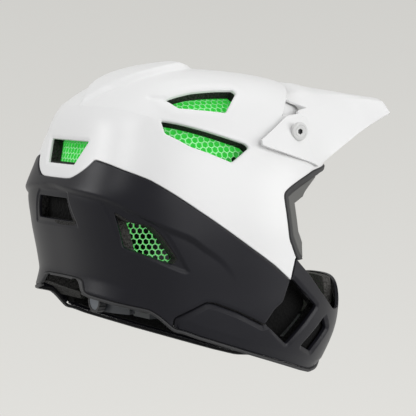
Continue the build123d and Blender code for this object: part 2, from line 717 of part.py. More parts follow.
def visor_strut():
    """The small strut between the plateau and the wing."""
    y = -PIVOT_FORWARD - OVERRUN
    width = VISOR_WALL
    top_x, low_x = HALF_WIDTH * 0.55, HALF_WIDTH * 0.655
    top_z, low_z = form_top(top_x, y) - VISOR_WALL, form_top(low_x, y) + WING_STAND
    points = [Vector(-top_x, y, top_z), Vector(-low_x, y, low_z),
              Vector(-low_x + width, y, low_z - width), Vector(-top_x + width, y, top_z - width)]
    return polygon_prism(points, Vector(0, 2 * width, 0))


def pivot_reach(grow, radius, pick):
    """The form's reach round the pivot at a radius: the most or the least of it."""
    reaches = []
    for turn in range(0, 360, 45):
        y = -PIVOT_FORWARD + radius * math.cos(math.radians(turn))
        z = PIVOT_HEIGHT + radius * math.sin(math.radians(turn))
        reaches.append(form_side(y, z, grow))
    return pick(reaches)


def wing_face():
    """How far out the flat seat of the screw's washer is."""
    return pivot_reach(wing_stand(-PIVOT_FORWARD), SCREW_HEAD_RADIUS, max) + VISOR_WALL


def pivot_plane(side):
    """A plane across the right pivot line at a distance out, facing inwards."""
    return Plane(origin=(-side, -PIVOT_FORWARD, PIVOT_HEIGHT), z_dir=(1, 0, 0))


def visor():
    """The whole visor with its two pivot seats and holes."""
    wing = visor_wing()
    strut = visor_strut()
    seat_radius = SCREW_HEAD_RADIUS + VISOR_WALL
    boss = Solid.make_cylinder(seat_radius, OVERRUN, pivot_plane(wing_face()))
    boss = largest(boss - form(wing_stand(-PIVOT_FORWARD)))
    clear = Solid.make_cylinder(seat_radius, OVERRUN, pivot_plane(wing_face() + OVERRUN))
    whole = visor_plateau() + wing + mirrored(wing) + strut + mirrored(strut) + boss + mirrored(boss)
    cuts = [clear, mirrored(clear)] + pivot_hole(SCREW_SHANK_RADIUS + RUNNING_GAP)
    return largest(whole - cuts)


def visor_washer():
    """The washer under the right screw's head."""
    plane = pivot_plane(wing_face() + WASHER_THICKNESS)
    ring = Solid.make_cylinder(SCREW_HEAD_RADIUS - SEAT_GAP, WASHER_THICKNESS, plane)
    return ring - Solid.make_cylinder(SCREW_SHANK_RADIUS + SEAT_GAP, WASHER_THICKNESS, plane)


def visor_screw():
    """The right pivot screw, with its socket."""
    head_start = wing_face() + WASHER_THICKNESS + SCREW_HEAD_HEIGHT
    head = Solid.make_cylinder(SCREW_HEAD_RADIUS, SCREW_HEAD_HEIGHT, pivot_plane(head_start))
    shank = Solid.make_cylinder(SCREW_SHANK_RADIUS, SCREW_LENGTH + SCREW_HEAD_HEIGHT, pivot_plane(head_start))
    flats = RegularPolygon(SCREW_SOCKET_RADIUS, 6)
    socket = extrude(pivot_plane(head_start) * flats, SCREW_HEAD_HEIGHT * 0.8)
    return (head + shank) - socket


def visor_insert():
    """The threaded insert in the foam behind the right screw."""
    start = pivot_reach(-SHELL_WALL - 2 * SEAT_GAP, INSERT_RADIUS, min)
    plane = pivot_plane(start)
    body = Solid.make_cylinder(INSERT_RADIUS - SEAT_GAP, INSERT_LENGTH, plane)
    return body - Solid.make_cylinder(SCREW_SHANK_RADIUS + SEAT_GAP / 2, INSERT_LENGTH, plane)


def mouth_grille():
    """The slatted grille behind the mouth port."""
    outer = -CHIN_WALL - SEAT_GAP
    top_half, foot_half, top, foot = MOUTH_PORT_SHARES
    top_z, foot_z = place(0, top)[1], place(0, foot)[1]
    rows, columns = 5, 6
    pitch_z, pitch_x = (top_z - foot_z) / rows, 2 * top_half * HALF_WIDTH / columns
    holes = []
    for row in range(rows):
        for column in range(columns):
            x = (column - (columns - 1) / 2) * pitch_x
            z = foot_z + (row + 0.5) * pitch_z
            corner = Plane(origin=(x - 0.36 * pitch_x, -CHIN_REACH - OVERRUN, z - 0.32 * pitch_z))
            holes.append(Solid.make_box(0.72 * pitch_x, CHIN_REACH / 3, 0.64 * pitch_z, corner))
    return carved(outer, outer - CHIN_WALL / 2, [mouth_port(OVERRUN / 4 - SEAT_GAP)], holes)


def mouth_pad():
    """The soft pad inside the top of the mouth piece."""
    outer = -CHIN_WALL - SEAT_GAP - CHIN_LINER_DEPTH - PAD_GAP
    half, foot_half, top, foot = MOUTH_PORT_SHARES
    zone = rear_prism((half, half, foot - 0.03, foot - 0.16), -CHIN_REACH - OVERRUN, CHIN_REACH / 2)
    return carved(outer, outer - PAD_THICKNESS, [zone])


def inner_face():
    """How far below the form the foam's inner face is."""
    return -SHELL_WALL - LINER_DEPTH


def brow_pad():
    """The comfort pad round the inside of the brow."""
    outer = inner_face() - PAD_GAP
    low, high = (place(0, share)[1] for share in BROW_PAD_SHARES)
    zone = Solid.make_box(2 * HALF_WIDTH, CHIN_REACH, high - low, Plane(origin=(-HALF_WIDTH, -CHIN_REACH, low)))
    return carved(outer, outer - PAD_THICKNESS, [zone], [port_prism(PORT_TRIM_WIDTH)])


def crown_pad():
    """The comfort pad inside the crown, with its three strips."""
    outer = inner_face() - PAD_GAP
    half_x, half_y = (share * HALF_WIDTH for share in CROWN_PAD_HALF_SHARES)
    hole_x, hole_y = (share * HALF_WIDTH for share in CROWN_PAD_HOLE_SHARES)
    sheet = Rectangle(2 * half_x, 2 * half_y)
    sheet = fillet(sheet.vertices(), half_x / 3)
    for way in (-1, 1):
        hole = Rectangle(2 * hole_x, 2 * hole_y)
        sheet = sheet - Pos(way * half_x / 2, 0) * fillet(hole.vertices(), hole_x / 2)
    zone = extrude(sheet, CROWN_HEIGHT)
    return carved(outer, outer - PAD_THICKNESS, [zone])


def cheek_pad():
    """The right cheek pad: full in the middle, drawn in at both faces."""
    outer = inner_face() - PAD_GAP
    points = [place(*pair) for pair in CHEEK_SHARES]
    mid_y = sum(y for y, z in points) / len(points)
    mid_z = sum(z for y, z in points) / len(points)
    start = form_side(mid_y, mid_z, outer) + OVERRUN / 2
    depths = (0, CHEEK_THICKNESS / 2 + OVERRUN / 2, CHEEK_THICKNESS + OVERRUN / 2)
    wires = []
    for share, depth in zip(CHEEK_CROWN_SHARES, depths):
        ring = [Vector(-start + depth, mid_y + (y - mid_y) * share, mid_z + (z - mid_z) * share)
                for y, z in points]
        wires.append(Wire([Edge.make_spline(ring, periodic=True)]))
    pillow = Solid.make_loft(wires)
    return largest(pillow & form(outer))


def polar(radius, angle, z):
    """A point on a ring round the cradle's upright axis, angle 0 at the rear centre."""
    turn = math.radians(angle)
    return Vector(-radius * math.sin(turn), BAND_CENTRE_Y + radius * math.cos(turn), z)


def ring_sector(inner, outer, from_angle, to_angle, low, high):
    """A piece of an upright ring between two angles and two heights."""
    middle = (from_angle + to_angle) / 2
    outer_arc = ThreePointArc(polar(outer, from_angle, low), polar(outer, middle, low), polar(outer, to_angle, low))
    inner_arc = ThreePointArc(polar(inner, to_angle, low), polar(inner, middle, low), polar(inner, from_angle, low))
    side_a = Line(polar(outer, to_angle, low), polar(inner, to_angle, low))
    side_b = Line(polar(inner, from_angle, low), polar(outer, from_angle, low))
    face = make_face([outer_arc, side_a, inner_arc, side_b])
    return extrude(face, high - low, dir=(0, 0, 1))


def band_limits():
    """Inner and outer radius of the bands."""
    return BAND_RADIUS - BAND_THICKNESS / 2, BAND_RADIUS + BAND_THICKNESS / 2


def tooth_sizes():
    """Tip and root distances of the pinion's teeth from its axis."""
    tip = PINION_PITCH_RADIUS + TOOTH_HEIGHT / 2
    root = PINION_PITCH_RADIUS - TOOTH_HEIGHT / 2 - RUNNING_GAP
    return tip, root


def rack_band(way):
    """A band: way 1 goes to the wearer's right with its rack below, way -1 to the left, above."""
    inner, outer = band_limits()
    tip, root = tooth_sizes()
    rack_foot = PINION_PITCH_RADIUS - TOOTH_HEIGHT / 2 + RUNNING_GAP
    rack_base = tip + 2 * RUNNING_GAP
    edge = CRADLE_HALF_HEIGHT - CRADLE_WALL - MOVING_GAP
    free_start = CRADLE_HALF_ANGLE + BAND_TRAVEL_ANGLE + 2
    pitch_angle = math.degrees(2 * math.pi * PINION_PITCH_RADIUS / PINION_TEETH / BAND_RADIUS)
    back = -7 * pitch_angle
    ends = sorted((way * back, way * free_start))
    low, high = (CRADLE_Z - edge, CRADLE_Z - rack_base) if way > 0 else (CRADLE_Z + rack_base, CRADLE_Z + edge)
    strip = ring_sector(inner, outer, ends[0], ends[1], low, high)
    thick = (math.pi * PINION_PITCH_RADIUS / PINION_TEETH - TOOTH_PLAY / 2)
    tooth_angle = math.degrees(thick / BAND_RADIUS)
    for index in range(-6, 11):
        centre = way * (index + 0.5) * pitch_angle
        tooth_low, tooth_high = (high, CRADLE_Z - rack_foot) if way > 0 else (CRADLE_Z + rack_foot, low)
        strip = strip + ring_sector(inner, outer, centre - tooth_angle / 2, centre + tooth_angle / 2,
                                    tooth_low, tooth_high)
    arm_ends = sorted((way * (free_start - 1), way * BAND_END_ANGLE))
    arm = ring_sector(inner, outer, arm_ends[0], arm_ends[1], CRADLE_Z - BAND_HEIGHT / 2, CRADLE_Z + BAND_HEIGHT / 2)
    tip_spot = polar(inner - BAND_THICKNESS, way * BAND_END_ANGLE, CRADLE_Z)
    outward = (polar(outer, way * BAND_END_ANGLE, CRADLE_Z) - tip_spot).normalized()
    round_end = Solid.make_cylinder(BAND_HEIGHT / 2, 4 * BAND_THICKNESS, Plane(origin=tip_spot, z_dir=outward))
    wrap = sorted((way * (BAND_END_ANGLE - 1), way * (BAND_END_ANGLE + 6)))
    cap = ring_sector(inner, outer, wrap[0], wrap[1], CRADLE_Z - BAND_HEIGHT / 2, CRADLE_Z + BAND_HEIGHT / 2)
    return strip + arm + (cap & round_end)


def dial_y():
    """Where the cradle's rear face is at the centre."""
    return BAND_CENTRE_Y + BAND_RADIUS + BAND_THICKNESS / 2 + MOVING_GAP + CRADLE_WALL


def cradle_housing():
    """The rear shell of the cradle, open to the front for the bands."""
    inner, outer = band_limits()
    low, high = CRADLE_Z - CRADLE_HALF_HEIGHT, CRADLE_Z + CRADLE_HALF_HEIGHT
    body = ring_sector(inner - MOVING_GAP, outer + MOVING_GAP + CRADLE_WALL,
                       -CRADLE_HALF_ANGLE, CRADLE_HALF_ANGLE, low, high)
    slot = ring_sector(inner - 2 * MOVING_GAP, outer + MOVING_GAP, -CRADLE_HALF_ANGLE - 3, CRADLE_HALF_ANGLE + 3,
                       low + CRADLE_WALL, high - CRADLE_WALL)
    bore = Solid.make_cylinder(PINION_PITCH_RADIUS / 2 + RUNNING_GAP, 4 * CRADLE_WALL,
                               Plane(origin=(0, dial_y() + CRADLE_WALL, CRADLE_Z), z_dir=(0, -1, 0)))
    return body - slot - bore


def cradle_cover():
    """The front plate that closes the cradle."""
    inner = band_limits()[0] - MOVING_GAP
    return ring_sector(inner - CRADLE_WALL, inner, -CRADLE_HALF_ANGLE, CRADLE_HALF_ANGLE,
                       CRADLE_Z - CRADLE_HALF_HEIGHT, CRADLE_Z + CRADLE_HALF_HEIGHT)


def nape_pad():
    """The pad on the front of the cradle, thinner towards its edges."""
    outer = band_limits()[0] - MOVING_GAP - CRADLE_WALL - PAD_GAP
    half = CRADLE_HALF_HEIGHT - RIVET_HEAD_HEIGHT
    angle = CRADLE_HALF_ANGLE - 3
    thick = PAD_THICKNESS * 0.8
    core = ring_sector(outer - thick, outer, -angle, angle, CRADLE_Z - half * 0.7, CRADLE_Z + half * 0.7)
    wide = ring_sector(outer - thick * 0.6, outer, -angle - 1.5, angle + 1.5, CRADLE_Z - half, CRADLE_Z + half)
    return core + wide


def pinion_outline():
    """The pinion's toothed outline, a tooth at the top."""
    tip, root = tooth_sizes()
    half_pitch = math.pi / PINION_TEETH
    play = TOOTH_PLAY / PINION_PITCH_RADIUS / 2
    points = []
    for tooth in range(PINION_TEETH):
        centre = math.pi / 2 + 2 * half_pitch * tooth
        for radius, spread in ((root, 1.30), (tip, 0.62)):
            turn = centre - (half_pitch / 2 * spread - play / 2)
            points.append((radius * math.cos(turn), radius * math.sin(turn)))
        for radius, spread in ((tip, 0.62), (root, 1.30)):
            turn = centre + (half_pitch / 2 * spread - play / 2)
            points.append((radius * math.cos(turn), radius * math.sin(turn)))
    return points


def dial_pinion():
    """The pinion and its shaft, which the dial turns."""
    plane = Plane(origin=(0, BAND_CENTRE_Y + BAND_RADIUS - PINION_WIDTH / 2, CRADLE_Z), x_dir=(1, 0, 0),
                  z_dir=(0, 1, 0))
    gear = extrude(plane * make_face(Polyline(*pinion_outline(), close=True)), PINION_WIDTH)
    length = dial_y() + MOVING_GAP - plane.origin.Y
    shaft = Solid.make_cylinder(PINION_PITCH_RADIUS / 2, length, plane)
    return gear + shaft


def fit_dial():
    """The knob with its grip notches and a seat for the cap."""
    start = dial_y() + MOVING_GAP
    plane = Plane(origin=(0, start, CRADLE_Z), z_dir=(0, 1, 0))
    knob = Solid.make_cylinder(DIAL_RADIUS, DIAL_THICKNESS, plane)
    notch_radius = DIAL_RADIUS / DIAL_NOTCHES
    notches = []
    for index in range(DIAL_NOTCHES):
        turn = 2 * math.pi * index / DIAL_NOTCHES
        spot_on = Plane(origin=(DIAL_RADIUS * math.cos(turn), start, CRADLE_Z + DIAL_RADIUS * math.sin(turn)),
                        z_dir=(0, 1, 0))
        notches.append(Solid.make_cylinder(notch_radius, DIAL_THICKNESS, spot_on))
    seat = Solid.make_cylinder(DIAL_RADIUS * 0.78, DIAL_THICKNESS / 4,
                               Plane(origin=(0, start + 0.75 * DIAL_THICKNESS, CRADLE_Z), z_dir=(0, 1, 0)))
    return knob - notches - seat


def dial_cap():
    """The disc in the face of the dial."""
    start = dial_y() + MOVING_GAP + 0.75 * DIAL_THICKNESS
    plane = Plane(origin=(0, start, CRADLE_Z), z_dir=(0, 1, 0))
    return Solid.make_cylinder(DIAL_RADIUS * 0.78 - SEAT_GAP, DIAL_THICKNESS / 5, plane)


def stem_plane():
    """The lower end of the height strip, leaning back with the foam."""
    tilt = math.radians(STEM_TILT)
    base = Vector(0, BAND_CENTRE_Y + BAND_RADIUS + MOVING_GAP, CRADLE_Z + CRADLE_HALF_HEIGHT)
    return Plane(origin=base, x_dir=(1, 0, 0), z_dir=(0, math.sin(tilt), math.cos(tilt)))


def cradle_stem():
    """The strip that carries the cradle and slides for height."""
    plane = stem_plane()
    strip = extrude(plane * Rectangle(STEM_WIDTH, STEM_THICKNESS), STEM_LENGTH)
    below = Solid.make_box(2 * STEM_WIDTH, 2 * STEM_WIDTH, STEM_WIDTH,
                           Plane(origin=(-STEM_WIDTH, plane.origin.Y - STEM_WIDTH, plane.origin.Z - STEM_WIDTH)))
    foot = extrude(plane * Rectangle(STEM_WIDTH, STEM_THICKNESS), -STEM_THICKNESS)
    notches = []
    for index in range(3):
        step = (STEM_LENGTH * (0.55 + 0.14 * index))
        notches.append(plane * Pos(0, STEM_THICKNESS / 2, step) * Box(STEM_WIDTH / 2, STEM_THICKNESS / 2, STEM_THICKNESS))
    return (strip + foot) - below - notches


def stem_anchor():
    """The sleeve on the foam that the height strip slides in."""
    plane = stem_plane()
    up = STEM_LENGTH * 0.62
    depth = ANCHOR_DEPTH
    shift = depth / 2 - STEM_THICKNESS / 2 - CRADLE_WALL
    block = plane * Pos(0, shift, up) * Box(ANCHOR_WIDTH, depth, ANCHOR_HEIGHT)
    hole = plane * Pos(0, 0, up) * Box(STEM_WIDTH + 2 * RUNNING_GAP, STEM_THICKNESS + 2 * RUNNING_GAP,
                                       2 * ANCHOR_HEIGHT)
    return (block - hole) & form(inner_face() - SEAT_GAP)


def strap_start():
    """Where the strap hangs from its anchor: side and height."""
    z = place(0, -0.40)[1]
    half = STRAP_WIDTH / 2
    corners = [(STRAP_Y + way * half, z + lift * half) for way in (-1, 1) for lift in (-1, 1)]
    nearest = min(form_side(y, height, inner_face()) for y, height in corners)
    return nearest - ANCHOR_PLATE_THICKNESS - 2 * SEAT_GAP, z


def strap_points(to_x):
    """The strap's line in the front view, from its anchor down to its buckle end."""
    start_x, start_z = strap_start()
    line = [(start_x, start_z + STRAP_WIDTH / 2), (start_x, start_z - STRAP_WIDTH / 2),
            (start_x * 0.86, -STRAP_DROP * 0.84), (start_x * 0.70, -STRAP_DROP * 0.96),
            (start_x * 0.58, -STRAP_DROP), (to_x, -STRAP_DROP)]
    return line


def strap_right():
    """The right strap, from its anchor to the loop by the buckle."""
    outer = [(-x, z) for x, z in strap_points(0)]
    outer = outer[:-1] + [(BUCKLE_X - BUCKLE_LENGTH / 2, -STRAP_DROP)]
    wire = thin_section(outer, STRAP_Y - STRAP_WIDTH / 2, -STRAP_THICKNESS)
    return Solid.extrude(Face(wire), Vector(0, STRAP_WIDTH, 0))


def strap_left():
    """The left strap, from its anchor to the loop by the buckle."""
    outer = strap_points(BUCKLE_X + BUCKLE_LENGTH / 2 + STRAP_THICKNESS + MOVING_GAP)
    wire = thin_section(outer, STRAP_Y - STRAP_WIDTH / 2, STRAP_THICKNESS)
    return Solid.extrude(Face(wire), Vector(0, STRAP_WIDTH, 0))


def strap_anchor():
    """The right anchor plate on the foam's inner face."""
    start_x, start_z = strap_start()
    outer = start_x + ANCHOR_PLATE_THICKNESS + SEAT_GAP
    plate = Solid.make_box(ANCHOR_PLATE_THICKNESS, STRAP_WIDTH, STRAP_WIDTH,
                           Plane(origin=(-outer, STRAP_Y - STRAP_WIDTH / 2, start_z - STRAP_WIDTH / 2)))
    bore = Solid.make_cylinder(RIVET_RADIUS + SEAT_GAP, 4 * ANCHOR_PLATE_THICKNESS,
                               Plane(origin=(-outer - ANCHOR_PLATE_THICKNESS, STRAP_Y, start_z), z_dir=(1, 0, 0)))
    return plate - bore


def rivet_length():
    """From the shell's inner face to just inside the strap."""
    start_x, start_z = strap_start()
    return form_side(STRAP_Y, start_z, -SHELL_WALL - 2 * SEAT_GAP) - start_x + STRAP_THICKNESS + SEAT_GAP


def strap_rivet():
    """The right rivet through foam, plate and strap."""
    start_x, start_z = strap_start()
    outer = form_side(STRAP_Y, start_z, -SHELL_WALL - 2 * SEAT_GAP)
    length = rivet_length()
    shank = Solid.make_cylinder(RIVET_RADIUS, length, Plane(origin=(-outer, STRAP_Y, start_z), z_dir=(1, 0, 0)))
    head_x = -outer + length
    head = Solid.make_cylinder(RIVET_HEAD_RADIUS, RIVET_HEAD_HEIGHT, Plane(origin=(head_x, STRAP_Y, start_z), z_dir=(1, 0, 0)))
    return shank + head


def rivet_bores():
    """The bores for the rivets, right across the foam on both sides."""
    start_x, start_z = strap_start()
    bore = Solid.make_cylinder(RIVET_RADIUS + SEAT_GAP, HALF_WIDTH / 2,
                               Plane(origin=(-HALF_WIDTH - OVERRUN, STRAP_Y, start_z), z_dir=(1, 0, 0)))
    return [bore, mirrored(bore)]


def strap_bore():
    """The rivet's hole in the right strap."""
    start_x, start_z = strap_start()
    plane = Plane(origin=(-start_x - OVERRUN, STRAP_Y, start_z), z_dir=(1, 0, 0))
    return Solid.make_cylinder(RIVET_RADIUS + SEAT_GAP, 2 * OVERRUN, plane)


def buckle_box(x_from, x_to, z_from, z_to, width):
    """A box of the buckle between two X and two Z places, centred on the strap."""
    return Solid.make_box(x_to - x_from, width, z_to - z_from, Plane(origin=(x_from, STRAP_Y - width / 2, z_from)))


def buckle_female():
    """The lower half of the buckle, with its magnet pocket and the right strap's bar."""
    x_from, x_to = BUCKLE_X - BUCKLE_LENGTH / 2, BUCKLE_X + BUCKLE_LENGTH / 2 - 2 * BUCKLE_WALL
    z_low, z_mid = -STRAP_DROP - BUCKLE_THICKNESS / 2, -STRAP_DROP
    body = buckle_box(x_from, x_to, z_low, z_mid, BUCKLE_WIDTH)
    lip = buckle_box(x_from, x_from + 2 * BUCKLE_WALL, z_low, z_mid + BUCKLE_THICKNESS / 2, BUCKLE_WIDTH)
    pocket = Solid.make_cylinder(MAGNET_RADIUS + RUNNING_GAP, MAGNET_THICKNESS + RUNNING_GAP,
                                 Plane(origin=(BUCKLE_X, STRAP_Y, z_mid - MAGNET_THICKNESS - RUNNING_GAP)))
    return body + lip - pocket


def buckle_male():
    """The upper half of the buckle, which slides off sideways."""
    x_from = BUCKLE_X - BUCKLE_LENGTH / 2 + 2 * BUCKLE_WALL + MOVING_GAP
    x_to = BUCKLE_X + BUCKLE_LENGTH / 2
    z_low, z_high = -STRAP_DROP + MOVING_GAP / 2, -STRAP_DROP + BUCKLE_THICKNESS / 2
    body = buckle_box(x_from, x_to, z_low, z_high, BUCKLE_WIDTH)
    pocket = Solid.make_cylinder(MAGNET_RADIUS + RUNNING_GAP, MAGNET_THICKNESS + RUNNING_GAP,
                                 Plane(origin=(BUCKLE_X, STRAP_Y, z_low)))
    return body - pocket


def magnet(z):
    """A magnet disc of the buckle."""
    return Solid.make_cylinder(MAGNET_RADIUS, MAGNET_THICKNESS, Plane(origin=(BUCKLE_X, STRAP_Y, z)))


def strap_loop_left():
    """The sewn loop of the left strap, against the male half."""
    x_from = BUCKLE_X + BUCKLE_LENGTH / 2
    return buckle_box(x_from, x_from + STRAP_THICKNESS, -STRAP_DROP - STRAP_THICKNESS / 2,
                      -STRAP_DROP + STRAP_THICKNESS * 1.5, STRAP_WIDTH)


def strap_keeper():
    """The rubber ring that holds the right strap's tail."""
    centre = BUCKLE_X - BUCKLE_LENGTH / 2 - STRAP_WIDTH
    half = STRAP_WIDTH / 3
    low, high = -STRAP_DROP - SEAT_GAP, -STRAP_DROP + STRAP_THICKNESS + SEAT_GAP
    outer = buckle_box(centre - half, centre + half, low - STRAP_THICKNESS, high + STRAP_THICKNESS,
                       STRAP_WIDTH + 2 * STRAP_THICKNESS + 2 * SEAT_GAP)
    hole = buckle_box(centre - 2 * half, centre + 2 * half, low, high, STRAP_WIDTH + 2 * SEAT_GAP)
    return outer - hole


def pad_dots():
    """The hook discs on the foam that hold the comfort pads."""
    outer = inner_face() - SEAT_GAP / 2
    y, z = place(*PAD_DOT_SHARES)
    plane = Plane(origin=(-HALF_WIDTH, y, z), z_dir=(1, 0, 0))
    disc = Solid.make_cylinder(PAD_THICKNESS, HALF_WIDTH, plane)
    dot = carved(outer, outer - PAD_GAP / 2, [disc])
    return group(dot, mirrored(dot))


def save(name, shape):
    """Write one node."""
    shape.label = name
    export_step(shape, os.path.join("parts", name + ".step"))


def group(*shapes):
    """Several separate solids as one node."""
    return Compound(children=[solid for shape in shapes for solid in shape.solids()])


def main():
    """Build every piece and write it."""
    os.makedirs("parts", exist_ok=True)
    side, crown, rear = (tube_core(index) for index in range(3))
    wing_strap_bore = strap_bore()
    right_strap = strap_right() - wing_strap_bore
    left_strap = strap_left() - mirrored(wing_strap_bore)
    cheek = cheek_pad()
    pieces = {
        **in_three("upper_shell", upper_shell(), PANEL_SPLIT_SHARE * HALF_WIDTH),
        **in_three("lower_shell", lower_shell(), PANEL_SPLIT_SHARE * HALF_WIDTH),
        **in_three("chin_bar_shell", chin_bar_shell(), PANEL_SPLIT_SHARE * HALF_WIDTH),
        **liner_panels(impact_liner()),
        **in_three("chin_bar_liner", chin_bar_liner(), PANEL_SPLIT_SHARE * HALF_WIDTH),
        "side_core_right": side,
        "side_core_left": mirrored(side),
        "crown_core_right": crown,
        "crown_core_left": mirrored(crown),
        "rear_core": rear,
        **in_three("port_trim", port_trim(), PANEL_SPLIT_SHARE * HALF_WIDTH),
        "base_edging": base_edging(),
        "visor": visor(),
        "visor_screw_right": visor_screw(),
        "visor_screw_left": mirrored(visor_screw()),
        "visor_washers": group(visor_washer(), mirrored(visor_washer())),
        "visor_inserts": group(visor_insert(), mirrored(visor_insert())),
        "mouth_grille": mouth_grille(),
        "mouth_pad": mouth_pad(),
        "brow_pad": brow_pad(),
        "crown_pad": crown_pad(),
        "cheek_pad_right": cheek,
        "cheek_pad_left": mirrored(cheek),
        "cradle_housing": cradle_housing(),
        "cradle_cover": cradle_cover(),
        "nape_pad": nape_pad(),
        "band_right": rack_band(1),
        "band_left": rack_band(-1),
        "dial_pinion": dial_pinion(),
        "fit_dial": fit_dial(),
        "dial_cap": dial_cap(),
        "cradle_stem": cradle_stem(),
        "stem_anchor": stem_anchor(),
        "strap_right": right_strap,
        "strap_left": left_strap,
        "strap_anchors": group(strap_anchor(), mirrored(strap_anchor())),
        "strap_rivets": group(strap_rivet(), mirrored(strap_rivet())),
        "buckle_female": buckle_female(),
        "buckle_male": buckle_male(),
        "magnet_female": magnet(-STRAP_DROP - MAGNET_THICKNESS),
        "magnet_male": magnet(-STRAP_DROP + MOVING_GAP / 2),
        "strap_loop_left": strap_loop_left(),
        "strap_keeper": strap_keeper(),
        "pad_dots": pad_dots(),
    }
    for name, shape in pieces.items():
        save(name, shape)


main()
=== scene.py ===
import json
import math

import bmesh
import bpy
import numpy as np
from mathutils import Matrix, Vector


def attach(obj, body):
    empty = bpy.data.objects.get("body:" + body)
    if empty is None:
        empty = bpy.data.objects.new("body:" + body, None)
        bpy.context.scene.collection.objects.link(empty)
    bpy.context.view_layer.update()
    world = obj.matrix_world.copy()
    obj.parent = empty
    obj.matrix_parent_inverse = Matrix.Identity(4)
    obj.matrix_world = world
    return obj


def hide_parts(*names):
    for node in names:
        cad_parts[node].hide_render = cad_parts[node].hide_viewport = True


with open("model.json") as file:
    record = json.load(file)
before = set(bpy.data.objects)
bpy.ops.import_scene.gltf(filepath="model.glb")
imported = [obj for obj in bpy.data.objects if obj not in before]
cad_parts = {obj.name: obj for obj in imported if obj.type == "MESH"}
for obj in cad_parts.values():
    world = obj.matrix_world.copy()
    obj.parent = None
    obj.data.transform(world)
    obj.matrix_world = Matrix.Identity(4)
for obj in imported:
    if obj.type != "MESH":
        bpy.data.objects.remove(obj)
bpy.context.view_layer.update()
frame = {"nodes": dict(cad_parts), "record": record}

# Lengths here are millimetres, and a mesh is scaled to metres when it is made.
MM = 0.001

# Driving sizes of the outer form
HALF_WIDTH = 112.0
REAR_REACH = 119.0
CHIN_REACH = 152.0
CROWN_HEIGHT = 104.0
CHIN_DROP = 155.0

# The outer form as levels: height, rear, front and half width as shares, then how square
# the rear and the front of the level are
LEVEL_SHARES = np.array((
    (1.000, 0.000, 0.000, 0.000, 2.0, 2.0),
    (0.980, 0.252, 0.237, 0.232, 2.1, 2.1),
    (0.938, 0.420, 0.460, 0.402, 2.2, 2.3),
    (0.875, 0.546, 0.625, 0.536, 2.4, 2.5),
    (0.769, 0.689, 0.724, 0.670, 2.6, 2.5),
    (0.625, 0.798, 0.776, 0.786, 2.8, 2.4),
    (0.433, 0.866, 0.822, 0.884, 2.8, 2.3),
    (0.212, 0.941, 0.855, 0.955, 2.8, 2.2),
    (0.000, 1.000, 0.882, 0.991, 2.8, 2.1),
    (-0.161, 0.975, 0.908, 1.000, 2.8, 2.1),
    (-0.323, 0.933, 0.941, 0.982, 2.8, 2.1),
    (-0.484, 0.899, 0.980, 0.955, 2.8, 2.1),
    (-0.645, 0.866, 1.000, 0.929, 2.8, 2.1),
    (-0.806, 0.807, 0.974, 0.884, 2.8, 2.1),
    (-1.000, 0.689, 0.882, 0.768, 2.6, 2.1),
    (-1.130, 0.600, 0.790, 0.670, 2.6, 2.1),
))
ROWS = 340
COLUMNS = 704
LINE_STEPS = 240
LINE_PARTS = 7
FINE_STEPS = 4000
BISECTIONS = 34
FAR = 2.5 * HALF_WIDTH
# The distance that a field has where its outline can't be seen, and a field's flattest slope, squared
OUT_OF_SIGHT = -60.0
LEAST_SLOPE = 0.06
# How squarely a face has to point at the viewer to be in sight
LEAST_FACING = 0.1
# A piece is cut out of faces up to this far outside its region, and these columns of a skin's data hold the
# region and the first field
CUT_MARGIN = 3.0
REGION = 6
FIRST_FIELD = 7
SIDES = (("right", False), ("left", True))

# Walls and edges
SHELL_WALL = 2.4
CHIN_WALL = 3.0
LIP_RADIUS = 0.8
SEAM_GAP = 0.25
LINER_DEPTH = 27.0
# The foam starts this far below the form, so no shell is pressed in further
LOWEST_RELIEF = 2.1
CHIN_LOWEST_RELIEF = 2.7
CORE_COVER = 9.0
SEAT_LINE_GAP = 0.6
WHITE_SEAM_GAP = 0.6
DARK_SEAM_GAP = 0.3
CHIN_SEAM_GAP = 0.8

# Relief of the shells: heights, and the widths over which they fade
EDGE_SINKS = {"upper_vent": (0.7, 2.0), "lower_vent": (0.7, 2.0), "rear_vent": (1.0, 3.5), "chin_seam": (1.0, 3.0),
              "chin_vent": (1.0, 3.5), "chin_slot": (1.6, 4.0)}
RECESSES = {"seat": (7.4, 4.0), "diamond_recess": (3.2, 6.0), "exhaust_recess": (1.8, 3.0)}
TAPERS = {"deck": (1.02, 6.0), "band": (1.0, 3.5), "bevel": (1.0, 3.0)}
RIDGE_SLOPE = 7.0
DECK_RISE = 1.3
DECK_FADE = 9.0
GROOVE_DEPTH = 1.5
GROOVE_FADE = 2.6
GROOVE_START = 2.0
SWELL = 0.5
SWELL_PLACE = 7.0
SWELL_FADE = 5.0
BAND_CREASE = 5.0
BAND_RISE = 2.1
BAND_RISE_FADE = 18.0
BAND_SINK = 1.3
BAND_SINK_FADE = 14.0
REAR_SINK = 1.0
REAR_SINK_START = 40.0
REAR_SINK_RUN = 60.0
REAR_SINK_TOP = 10.0
REAR_SINK_FALL = 30.0
FLARE_SLOPE = 0.45
FLARE_HEIGHT = 12.0
FLARE_SOFTNESS = 5.0
CHAMFER_DEPTH = 2.9
CHAMFER_WIDTH = 4.5
CHAMFER_END_SHARE = -0.30
CHAMFER_FADE = 20.0
FOOT_SINK = 1.6
FOOT_WIDTH = 9.0

# Foam behind the openings: how deep it lies, how far it reaches past them and keeps off the rim
BACK_DEPTHS = {"chin_vent": 16.0, "chin_slot": 6.5, "exhaust": 10.8}
BACK_OVERLAP = 5.0
BACK_INSET = 4.0
BACK_WALL = 1.0
BACK_LIP = 0.3

